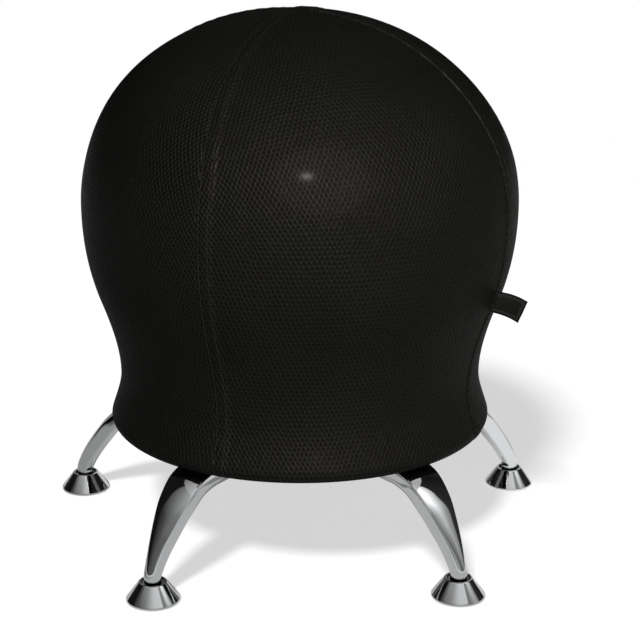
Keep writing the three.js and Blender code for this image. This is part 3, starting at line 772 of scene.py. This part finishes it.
def ball_mesh():
    """Vinyl ball: domed like the cover, pressed flat on the pan, with its valve's boss."""
    wall, steps = 1.6 * MM, 40
    rise = seat_top - cover_thickness - ball_slack - crown_height
    turns = np.linspace(0, QUARTER, steps)[:-1]
    heights = crown_height - (crown_height - ball_foot) * np.sin(turns) ** (2 / ball_squareness)
    lower = np.stack([ball_reach(heights), heights], -1)
    foot = float(ball_reach(ball_foot))
    pocket, pocket_top, boss_top = 15 * MM, ball_foot + 4 * MM, ball_foot + 10 * MM
    bore, boss = 4.5 * MM, 11 * MM
    under = filleted([
        (foot, ball_foot), (pocket, ball_foot), (pocket, pocket_top), (bore, pocket_top),
        (bore, boss_top), (boss, boss_top), (pocket + wall, pocket_top + wall),
        (pocket + wall, ball_foot + wall), (foot - wall, ball_foot + wall)], 0.8 * MM)
    middle = np.array([0, crown_height])
    lower_in = (middle + (lower - middle) * (1 - wall / ball_radius))[::-1]
    dome = dome_rows(ball_radius, rise, steps)
    dome_in = dome_rows(ball_radius - wall, rise - wall, steps)[::-1]
    profile = np.concatenate([dome, lower, under, lower_in, dome_in])
    return lofted("vinyl_ball", leaned(about_seat(revolve(profile, 128))))


def plug_mesh():
    """Air plug: a tapered peg with a dished head."""
    top, bottom, head = plug_high.z, plug_low.z, plug_high.x
    head_top, dish = bottom + 2 * MM, bottom + 0.8 * MM
    peg, tip = 4.2 * MM, 3.4 * MM
    profile = filleted([
        (0, dish), (head - 2.8 * MM, dish), (head - 1.4 * MM, bottom), (head, bottom),
        (head, head_top), (peg, head_top), (tip, top), (0, top)], 0.6 * MM)
    return lofted("pull_plug", about_seat(revolve(profile, 64)))


def ring_mesh():
    """Edge ring: a round moulding with a slot for the pan's edge."""
    slot = pan_sheet / 2 + fit_gap
    slot_end = pan_high.x + fit_gap
    mouth_turn = math.pi - math.asin(slot / ring_radius)
    section = [(rim_circle + ring_radius * math.cos(t), rim_height + ring_radius * math.sin(t))
               for t in np.linspace(-mouth_turn, mouth_turn, 29)]
    section += [(slot_end, rim_height + slot), (slot_end, rim_height - slot)]
    return lofted("edge_ring", about_seat(revolve(section, 180)), wrapped=True)


def pan_mesh():
    """Pressed pan: flat floor, sloping wall and flange, bored for the plug and the screws."""
    floor_radius, wall_run, valve_hole = 150 * MM, 9 * MM, 30 * MM
    press, edge = 4 * MM, 0.5 * MM  # roundings of the bends and of the flange
    hole_edge = 1.2 * MM
    bottom, top, flange = pan_low.z, pan_low.z + pan_sheet, pan_high.x
    flange_top = rim_height + pan_sheet / 2
    flange_bottom = flange_top - pan_sheet
    rise = flange_top - top
    bend = pan_sheet * (math.hypot(wall_run, rise) - wall_run) / rise
    wall_radius = floor_radius + wall_run
    profile = filleted([
        (valve_hole, bottom + pan_sheet / 2), (valve_hole, top, hole_edge),
        (floor_radius - bend, top, press), (wall_radius - bend, flange_top, press),
        (flange, flange_top, edge), (flange, flange_bottom, edge),
        (wall_radius, flange_bottom, press), (floor_radius, bottom, press),
        (valve_hole, bottom, hole_edge), (valve_hole, bottom + pan_sheet / 2)], 1 * MM)
    blank = lofted("pressed_pan", about_seat(revolve(profile[:-1], 180)), wrapped=True)
    holes = [about_seat([0, reach, 0], turn) for turn in leg_turns for reach in screw_reaches]
    return drilled("pressed_pan", blank, holes, screw_hole, bottom - 5 * MM, top + 5 * MM)


add_piece("vinyl_ball", ball_mesh(), ball_vinyl, "ball_vinyl", stands_for=["air_ball"])
add_piece("pull_plug", plug_mesh(), plug_vinyl, "plug_vinyl", "air_plug", ["air_plug"])
add_piece("edge_ring", ring_mesh(), ring_plastic, "edge_plastic", stands_for=["rim_ring"])
add_piece("pressed_pan", pan_mesh(), pan_coat, "coated_steel", stands_for=["seat_pan"])


# Legs

leg_foot_radius = 9.15 * MM
leg_arm_width = 46 * MM
leg_depth = 20 * MM
leg_dome = 1.6 * MM
leg_wall = 2 * MM
leg_arm_start = 50 * MM
leg_end_wall = 2.5 * MM
crease_softness = 0.8 * MM
foot_squareness, arm_squareness = 2, 5  # of a section: a circle, and nearly a rectangle
flattest = 0.97
level_places = 2  # rows of the table that are level
domed_place = 4
# Each row: shares of the way out and of the height, then of the arm's width, its squareness
# and the flat part of its outer face.
leg_row_shares = [
    [0, 1, 1, 1, 0.957],
    [0.436, 1, 1, 1, 0.957],
    [0.545, 1, 1, 1, 0.957],
    [0.623, 0.989, 0.946, 1, 0.955],
    [0.714, 0.925, 0.874, 0.93, 0.965],
    [0.81, 0.749, 0.693, 0.83, 0.96],
    [0.88, 0.558, 0.404, 0.67, 0.915],
    [0.938, 0.378, 0.151, 0.4, 0.756],
    [0.979, 0.222, 0.025, 0.13, 0.474],
    [1, 0.108, 0, 0, 0.246],
    [1, 0, 0, 0, 0.08],
]


def smooth_through(points, place):
    """The point at a place along a smooth curve through points, which doesn't overshoot where
    they crowd: each gap counts by the square root of its length."""
    least = 1e-4  # a shorter gap counts as none
    last = len(points) - 1
    start = min(int(place), last - 1)
    share = place - start
    one, two = points[start], points[start + 1]
    before = points[start - 1] if start > 0 else 2 * points[0] - points[1]
    after = points[start + 2] if start + 2 <= last else 2 * points[last] - points[last - 1]
    gaps = [float(np.linalg.norm(b - a)) ** 0.5
            for a, b in ((before, one), (one, two), (two, after))]
    gaps[1] = gaps[1] if gaps[1] > least else 1.0
    gaps = [gap if gap > least else gaps[1] for gap in gaps]
    leave = (one - before) / gaps[0] - (two - before) / (gaps[0] + gaps[1]) + (two - one) / gaps[1]
    reach = (two - one) / gaps[1] - (after - one) / (gaps[1] + gaps[2]) + (after - two) / gaps[2]
    return smooth_between(share, one, two, leave * gaps[1], reach * gaps[1])


def leg_section(width, depth, squareness, flat_share, dome, inset, count):
    """One section of the leg, across and up from its top line: half a squared ellipse and
    more, closed between two softened creases by the low dome of the outer face."""
    round_steps, face_steps, even_steps = 241, 81, 720
    crease = math.acos(flat_share ** (squareness / 2))
    rise = math.sin(crease) ** (2 / squareness)
    half_depth = depth / (1 + rise)
    turns = np.linspace(crease, -math.pi - crease, round_steps)
    c, s = np.cos(turns), np.sin(turns)
    across = (width / 2 - inset) * np.sign(c) * np.abs(c) ** (2 / squareness)
    level = (half_depth - inset) * np.sign(s) * np.abs(s) ** (2 / squareness)
    level = np.minimum(level, rise * half_depth - inset) - rise * half_depth
    face = np.linspace(-1, 1, face_steps)[1:-1]
    across = np.concatenate([across, across[0] * face])
    level = np.concatenate([level, level[0] + dome * (1 - face ** 2)])
    top = round_steps + face_steps // 2 - 1
    outline = np.roll(np.stack([across, level], -1), -top, axis=0)
    closed = np.concatenate([outline, outline[:1]])
    along = lengths_along(closed)
    even = np.linspace(0, along[-1], even_steps + 1)
    outline = interpolated(even[:-1], along, closed)
    step = along[-1] / even_steps
    reach = max(1, int(round(3 * crease_softness / step)))
    shifts = np.arange(-reach, reach + 1)
    weights = np.exp(-((shifts * step / crease_softness) ** 2) / 2)
    outline = sum(weight * np.roll(outline, shift, axis=0)
                  for weight, shift in zip(weights / weights.sum(), shifts))
    half_face = (width / 2 - inset) * flat_share
    from_top = np.minimum(even, along[-1] - even)[:-1]
    density = 1 + 6 * np.exp(-((from_top - half_face) / (2.2 * MM)) ** 2)  # of kept points
    total = np.concatenate([[0], np.cumsum(density)])
    picked = np.interp(total[-1] * np.arange(count) / count, total[:-1], even[:-1])
    return interpolated(picked, even, np.concatenate([outline, outline[:1]]))


def leg_rings(places, inset, count):
    """Rings of the leg, which points along +Y from the seat's axis."""
    table = np.array(leg_row_shares)
    foot_width = 2 * leg_foot_radius
    span = np.array([foot_reach + leg_foot_radius - leg_arm_start, leg_top - foot_bottom])
    line = np.array([leg_arm_start, foot_bottom]) + table[:, :2] * span
    form = table[:, 2:]
    rings = []
    for place in places:
        spot = smooth_through(line, place)
        if place <= level_places:
            spot[1] = leg_top
        width_share, square_share, flat_share = smooth_through(form, max(place, level_places))
        ahead = smooth_through(line, min(place + 0.001, len(table) - 1))
        along = unit(ahead - smooth_through(line, max(place - 0.001, 0)))
        bent = min(max((place - level_places) / 0.4, 0), 1)
        normal = unit(np.array([-along[1], along[0]]) * bent + np.array([0, 1]) * (1 - bent))
        section = leg_section(
            foot_width + (leg_arm_width - foot_width) * width_share,
            foot_width + (leg_depth - foot_width) * max(width_share, 0),
            foot_squareness + (arm_squareness - foot_squareness) * max(square_share, 0),
            min(flat_share, flattest),
            leg_dome * eased((place - level_places) / (domed_place - level_places)) * flat_share,
            inset,
            count,
        )
        rings.append(np.stack([section[:, 0], spot[0] + section[:, 1] * normal[0],
                               spot[1] + section[:, 1] * normal[1]], -1))
    return np.array(rings)


def leg_mesh():
    """One chrome leg, hollow and open at its foot, with its two screw holes."""
    count, end_rounding = 80, 0.93
    last = len(leg_row_shares) - 1
    places = [0, 0.02, 1, 1.6, *np.arange(2, 4, 0.1), *np.arange(4, last, 0.125), last]
    outer = leg_rings(places, 0, count)
    outer[0] = outer[0].mean(0) + (outer[0] - outer[0].mean(0)) * end_rounding
    inner = leg_rings([last, *np.arange(2, last, 0.5)[::-1], 0], leg_wall, count)
    inner[-1][:, 1] += leg_end_wall
    mesh = lofted("arched_leg", capped(np.concatenate([outer, inner])))
    return drilled("arched_leg", mesh, [(0, reach) for reach in screw_reaches], screw_hole,
                   leg_top - leg_depth - 5 * MM, leg_top + 5 * MM)


# Feet and screws

def bell_mesh():
    """Bell foot: a thin-lipped cone with a round mouth, hollow over the sole."""
    bottom, top, wall = bell_low.z, bell_high.z, 2 * MM
    lip_top, lip_middle, lip_edge = bottom + 2 * MM, bottom + 1 * MM, 0.3 * MM
    mouth = leg_foot_radius + 3.25 * MM
    brim, brim_edge = mouth + 2.1 * MM, 0.9 * MM
    floor_top, floor_bottom, hollow_foot = 12 * MM, 10 * MM, 3.5 * MM
    neck, neck_edge = 5.2 * MM, 0.3 * MM
    slope = (bell_radius - brim) / (top - lip_top)
    across = wall * math.hypot(1, slope)
    hollow_top_reach, hollow_foot_reach = (
        bell_radius - slope * (height - lip_top) - across for height in (floor_bottom, hollow_foot)
    )
    profile = filleted([
        (bell_radius, lip_middle), (bell_radius, lip_top, 0.8 * MM), (brim, top, brim_edge),
        (mouth, top, brim_edge), (mouth, floor_top, 1.2 * MM), (neck, floor_top, neck_edge),
        (neck, floor_bottom, neck_edge), (hollow_top_reach, floor_bottom, 1 * MM),
        (hollow_foot_reach, hollow_foot, 0.4 * MM), (bell_radius - wall, hollow_foot, 0.2 * MM),
        (bell_radius - wall, bottom, lip_edge), (bell_radius, bottom, 0.5 * MM),
        (bell_radius, lip_middle)], 0.5 * MM)
    return turned("bell", profile, 128)


def sole_mesh():
    """Rubber sole: a pad with a bevelled edge and two grip grooves."""
    radius = bell_radius - 2.3 * MM
    top, bevel, edge = 3.2 * MM, 0.7 * MM, 0.2 * MM
    profile = [(0, 0)]
    for middle in (12 * MM, 19 * MM):
        profile += [(middle + side * MM, depth * MM, edge)
                    for side, depth in ((-1.2, 0), (-0.8, 0.9), (0.8, 0.9), (1.2, 0))]
    profile += [(radius - bevel, 0), (radius, bevel), (radius, top), (0, top)]
    return turned("sole", filleted(profile, 0.3 * MM, 3), 96, closed=False)


def stem_mesh():
    """Swivel stem: a head under the bell's floor, a collar above it and a plain shank."""
    low, high = levels("foot_stem_back")
    head, neck, collar, shank = 8.5 * MM, 4.8 * MM, 7.5 * MM, 4 * MM
    head_top, collar_low, collar_top = low + 2.4 * MM, high - 13.7 * MM, high - 12 * MM
    profile = filleted([
        (0, low), (head, low), (head, head_top), (neck, head_top), (neck, collar_low),
        (collar, collar_low), (collar, collar_top), (shank, collar_top), (shank, high),
        (0, high)], 0.4 * MM, 2)
    return turned("stem", profile, 48, closed=False)


def insert_mesh():
    """Nylon insert: a flanged bush in the leg's open end."""
    low, high = levels("leg_insert_back")
    flange, flange_top = leg_foot_radius - fit_gap, low + 2 * MM
    body = leg_foot_radius - leg_wall - 2 * fit_gap
    bore, middle = 4.6 * MM, (low + high) / 2
    profile = filleted([
        (bore, middle), (bore, low), (flange, low), (flange, flange_top),
        (body, flange_top), (body, high), (bore, high), (bore, middle)], 0.4 * MM, 2)
    return turned("insert", profile, 64)


def screw_mesh():
    """Button-head screw with a hexagon socket, head down."""
    low, high = levels("leg_screw_back_inner")
    sides, sixth, count = 3, math.pi / 6, 48
    head, shank, socket, socket_end = 7 * MM, 4 * MM, 2.9 * MM, low + 2.6 * MM
    head_top, bevel = low + 4.4 * MM, 0.3 * MM
    widest = head_top - 1.2 * MM
    dome = [(head * math.sin(t), widest - (widest - low) * math.cos(t))
            for t in np.linspace(0.65, QUARTER, 9)]
    rings = revolve([
        (0, socket_end), (socket, socket_end), (socket, low + bevel), (socket + bevel, low),
        (dome[0][0], low), *dome, (head, head_top - 0.2 * MM), (head - 0.2 * MM, head_top),
        (shank, head_top), (shank, high - 0.5 * MM), (shank - 0.5 * MM, high), (0, high)], count)
    turns = np.arange(count) * TURN / count
    hexagon = math.cos(sixth) / np.cos((turns + sixth) % (2 * sixth) - sixth)
    rings[1:1 + sides, :, :2] *= hexagon[:, None]
    return lofted("button_screw", rings)


def add_copy(form, name, turn, reach, *rest):
    """Adds a piece: a copy of a form made about its own upright axis, set out along a leg."""
    copy = form.copy()
    copy.name = name
    points = np.zeros(len(copy.vertices) * 3)
    copy.vertices.foreach_get("co", points)
    points = about_seat(points.reshape(-1, 3) + [0, reach, 0], turn)
    copy.vertices.foreach_set("co", points.ravel())
    copy.update()
    add_piece(name, copy, *rest)


leg_form, bell_form, sole_form = leg_mesh(), bell_mesh(), sole_mesh()
stem_form, insert_form, screw_form = stem_mesh(), insert_mesh(), screw_mesh()

for side, turn in zip(leg_names, leg_turns):
    foot = f"foot_{side}"
    for name, form, reach, *rest, node in [
        ("chrome_leg", leg_form, 0, chrome, "chrome", "chair", "leg"),
        ("nylon_insert", insert_form, foot_reach, stem_nylon, "nylon", "chair", "leg_insert"),
        ("swivel_stem", stem_form, foot_reach, zinc, "zinc_steel", "chair", "foot_stem"),
        ("bell", bell_form, foot_reach, chrome, "chrome", foot, "foot_bell"),
        ("sole", sole_form, foot_reach, foot_rubber, "sole_rubber", foot, "foot_sole"),
    ]:
        add_copy(form, f"{name}_{side}", turn, reach, *rest, [f"{node}_{side}"])
    for row, reach in zip(screw_rows, screw_reaches):
        add_copy(screw_form, f"button_screw_{side}_{row}", turn, reach, zinc, "zinc_steel",
                 "chair", [f"leg_screw_{side}_{row}"])
        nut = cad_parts[f"leg_nut_{side}_{row}"]
        nut.data.materials.clear()
        nut.data.materials.append(zinc)


# Camera, floor, light

camera_distance = 1.8614
camera_aim_height = 0.23235
camera_azimuth, camera_elevation = -1.64, 17.134  # degrees
camera_sensor, camera_lens = 36, 92.78  # millimetres
camera_shifts = 0.03125, 0.0046  # shares of the picture
lamp_aim_height = 0.3
panel_distance = 3.0
floor_radius, floor_sides = 2.4, 96
sheen_colour = "#fff4ea"  # the lamps that show on the cloth are a little warm


def direction(azimuth, elevation):
    """A unit vector; azimuth counts in degrees from the front, -Y, towards +X."""
    a, e = math.radians(azimuth), math.radians(elevation)
    return Vector((math.sin(a) * math.cos(e), -math.cos(a) * math.cos(e), math.sin(e)))


def add_camera():
    """The camera where the photograph was taken from, as its outlines and feet tell."""
    view = direction(camera_azimuth, camera_elevation)
    data = bpy.data.cameras.new("camera")
    data.sensor_width = camera_sensor
    data.lens = camera_lens
    data.shift_x, data.shift_y = camera_shifts
    camera = put_in_scene("camera", data)
    camera.location = seat_axis + Vector((0, 0, camera_aim_height)) + view * camera_distance
    camera.rotation_euler = view.to_track_quat("Z", "Y").to_euler()
    bpy.context.scene.camera = camera


def group_of(name, members):
    """A collection of the objects that a lamp or a panel lights, kept outside the scene."""
    group = bpy.data.collections.new(name)
    for member in members:
        group.objects.link(member)
    return group


def add_light(name, kind, azimuth, elevation, power, lit):
    """A light from one direction on one group of objects."""
    light = put_in_scene(name, bpy.data.lights.new(name, kind))
    light.data.energy = power
    light.rotation_euler = direction(azimuth, elevation).to_track_quat("Z", "Y").to_euler()
    light.light_linking.receiver_collection = lit
    return light


def add_lamp(name, azimuth, elevation, distance, size, power, lit, sheen=False):
    """A lamp that faces the seat and lights one group. It shows in nothing polished, or, for a
    sheen, it lights nothing and only shows."""
    lamp = add_light(name, "AREA", azimuth, elevation, power, lit)
    lamp.data.shape = "ELLIPSE" if sheen else "RECTANGLE"
    lamp.data.size, lamp.data.size_y = size
    aim = seat_axis + Vector((0, 0, lamp_aim_height))
    lamp.location = aim + direction(azimuth, elevation) * distance
    lamp.visible_glossy = sheen
    lamp.visible_diffuse = not sheen
    if sheen:
        lamp.data.color = linear(sheen_colour)[:3]


def add_sun(name, azimuth, elevation, spread, power, lit):
    """An even light on one group, whose shadows soften with the spread of its rays."""
    sun = add_light(name, "SUN", azimuth, elevation, power, lit)
    sun.data.angle = math.radians(spread)
    sun.visible_glossy = False


def add_panel(name, azimuths, elevations, low_tones, high_tones, high_azimuths=None):
    """A studio panel that only the chrome sees, between two azimuths and two elevations. Its
    greys run across in even steps, at its low and its high edge, blended between them."""
    rows, steps = 17, 8  # steps from one grey to the next
    columns = steps * (len(low_tones) - 1) + 1
    shares = np.linspace(0, 1, columns)
    knots = np.linspace(0, 1, len(low_tones))
    points, greys = [], []
    for up in np.linspace(0, 1, rows):
        start, end, low_grey = (
            np.array(low) + (np.array(high) - np.array(low)) * up
            for low, high in zip((*azimuths, low_tones),
                                 (*(high_azimuths or azimuths), high_tones))
        )
        elevation = elevations[0] + (elevations[1] - elevations[0]) * up
        points += [seat_axis + direction(start + (end - start) * share, elevation)
                   * panel_distance for share in shares]
        greys.extend(np.interp(shares, knots, low_grey))
    corners = np.arange(rows * columns).reshape(rows, columns)
    faces = np.stack([corners[:-1, :-1], corners[:-1, 1:], corners[1:, 1:], corners[1:, :-1]], -1)
    mesh = bpy.data.meshes.new(name)
    mesh.from_pydata(points, [], faces.reshape(-1, 4).tolist())
    mesh.attributes.new("tone", "FLOAT", "POINT").data.foreach_set("value", greys)
    mesh.materials.append(panel_card)
    panel = put_in_scene(name, mesh)
    for ray in ("camera", "diffuse", "transmission", "shadow"):
        setattr(panel, "visible_" + ray, False)
    panel.light_linking.receiver_collection = chrome_pieces


def empty_tree(block):
    """The node tree of a material or world, with nothing in it."""
    block.use_nodes = True
    block.node_tree.nodes.clear()
    return block.node_tree


def studio_card():
    """Painted card of the studio's panels, each evenly lit at its own grey."""
    material = bpy.data.materials.new("studio_card")
    tree = empty_tree(material)
    tone = add_node(tree, "Attribute", out="Fac", attribute_name="tone")
    add_node(tree, "OutputMaterial", [add_node(tree, "Emission", [tone])])
    return material


def floor_patch(tree, places, middle, inside, outside):
    """A soft round patch of the floor: one within the inside radius, nothing past the outside."""
    away = add_node(tree, "VectorMath", [places, middle], "Value", operation="DISTANCE")
    return add_node(tree, "MapRange", [away, outside, inside])


def studio_floor():
    """Pale paper that keeps the shadow and melts into the white around it. What the chrome
    mirrors of it is greyer at the left, with a dark and a bright patch, as in the photo."""
    material = bpy.data.materials.new("studio_floor")
    tree = empty_tree(material)
    places = add_node(tree, "TexCoord", out="Object")
    rays = add_node(tree, "LightPath").node.outputs
    seen, mirrored = rays["Is Camera Ray"], rays["Is Glossy Ray"]
    along = add_node(tree, "SeparateXYZ", [places])
    shade = add_node(tree, "MapRange", [along, -0.28, -0.2, 0.02, 0.24])
    bright = floor_patch(tree, places, (0.36, 0.02, 0), 0.14, 0.24)
    lift = add_node(tree, "Math", [bright, 0.5, shade], operation="MULTIPLY_ADD")
    lift = add_node(tree, "Math", [mirrored, lift], operation="MULTIPLY")
    lift = add_node(tree, "Math", [seen, 0.61, lift], operation="MULTIPLY_ADD")
    paper = add_node(tree, "BsdfDiffuse", [linear("#c8c8c8")])
    lit = add_node(tree, "AddShader",
                   [paper, add_node(tree, "Emission", [linear("#ffffff"), lift])])
    dark = floor_patch(tree, places, (-0.52, -0.13, 0), 0.15, 0.2)
    dark = add_node(tree, "Math", [dark, mirrored], operation="MULTIPLY")
    lit = add_node(tree, "MixShader",
                   [dark, lit, add_node(tree, "BsdfDiffuse", [linear("#060606")])])
    away = add_node(tree, "VectorMath", [places], "Value", operation="LENGTH")
    fade = add_node(tree, "MapRange", [away, 0.8, 2.2], interpolation_type="SMOOTHSTEP")
    mixed = add_node(tree, "MixShader", [fade, lit, add_node(tree, "BsdfTransparent")])
    add_node(tree, "OutputMaterial", [mixed])
    return material


def add_floor():
    """A round floor, a hair below the soles."""
    mesh = bpy.data.meshes.new("floor")
    ring = revolve([(floor_radius, 0)], floor_sides)[0]
    mesh.from_pydata(ring.tolist(), [], [list(range(len(ring)))])
    mesh.materials.append(studio_floor())
    floor = put_in_scene("floor", mesh)
    floor.location = seat_axis - Vector((0, 0, hair))
    return floor


def add_world():
    """White to the eye and in polished metal, and a soft fill on everything else."""
    world = bpy.data.worlds.new("studio")
    bpy.context.scene.world = world
    tree = empty_tree(world)
    rays = add_node(tree, "LightPath").node.outputs
    seen = rays["Is Camera Ray"]
    for ray in ("Is Glossy Ray", "Is Transmission Ray"):
        seen = add_node(tree, "Math", [seen, rays[ray]], operation="MAXIMUM")
    fill, white = (add_node(tree, "Background", [linear("#ffffff"), strength])
                   for strength in (0.08, 1.0))
    add_node(tree, "OutputWorld", [add_node(tree, "MixShader", [seen, fill, white])])


made_pieces = [item for item in bpy.context.scene.objects if item.type == "MESH"]
chair_pieces = group_of("chair_pieces", made_pieces)
chrome_pieces = group_of(
    "chrome_pieces", [item for item in made_pieces if chrome in item.data.materials[:]])
cover_piece = group_of("cover_piece", [cover])

add_camera()
floor_piece = group_of("floor_piece", [add_floor()])
add_world()
add_lamp("front_softbox", 14, 24, 2.6, (1.0, 1.0), 57, chair_pieces)
add_lamp("right_softbox", 80, 46, 2.6, (0.7, 1.3), 3, chair_pieces)
add_lamp("top_softbox", -160, 64, 2.4, (1.2, 1.2), 10, chair_pieces)
add_lamp("back_softbox", 180, 15, 2.6, (1.2, 1.2), 45, chair_pieces)
add_lamp("front_sheen", 10, 30, 2.6, (2.2, 1.9), 440, cover_piece, sheen=True)
add_lamp("small_flash", 2, 33, 2.2, (0.18, 0.03), 130, cover_piece, sheen=True)
add_sun("floor_sun", -22, 50, 9, 2.6, floor_piece)

panel_card = studio_card()
# Greys of the panels: the share of white that each shows
add_panel("left_panel", (-140, -80), (3, 57), [0.05, 0.01, 0.01], [0.01, 0.01, 0.01],
          high_azimuths=(-140, -98))
add_panel("left_low_panel", (-80, -36), (3, 33), [0.02, 0.08, 0.12], [0.03, 0.16, 0.18],
          high_azimuths=(-90, -36))
add_panel("left_high_panel", (-90, -36), (33, 57), [0.03, 0.18, 0.22], [0.2, 0.6, 0.6],
          high_azimuths=(-98, -36))
add_panel("front_panel", (-36, 42), (36, 57), [0.3, 0.8, 0.9], [0.5, 0.9, 1.0])
add_panel("front_low_panel", (-36, 42), (3, 36), [0.10, 0.12, 0.6, 0.2], [0.2, 0.35, 0.5, 0.2])
add_panel("right_stripe_panel", (42, 58), (3, 57), [0.2, 0.06, 0.2], [0.6, 0.3, 0.6])
add_panel("right_low_panel", (58, 89), (3, 30), [0.15, 0.35, 0.2], [0.3, 0.65, 0.35])
add_panel("right_lit_panel", (58, 89), (30, 57), [0.3, 0.65, 0.35], [0.6, 2.8, 0.9])
add_panel("right_panel", (89, 140), (3, 57), [0.06, 0.02, 0.12], [0.02, 0.01, 0.01])
add_panel("back_panel", (140, 220), (3, 57), [0.9, 0.8, 0.4, 0.3, 0.1],
          [1.0, 0.9, 0.5, 0.4, 0.1])
add_panel("high_panel", (-180, 180), (57, 68),
          [0.4, 0.1, 0.4, 0.8, 0.9, 1.0, 0.9, 0.6, 0.8, 0.4],
          [0.4, 0.4, 0.6, 0.9, 0.9, 1.0, 0.9, 0.6, 0.8, 0.4])
add_panel("overhead_panel", (-180, 180), (68, 89.9), [0.04, 0.04], [0.04, 0.04])
bpy.context.scene.view_settings.view_transform = "Standard"
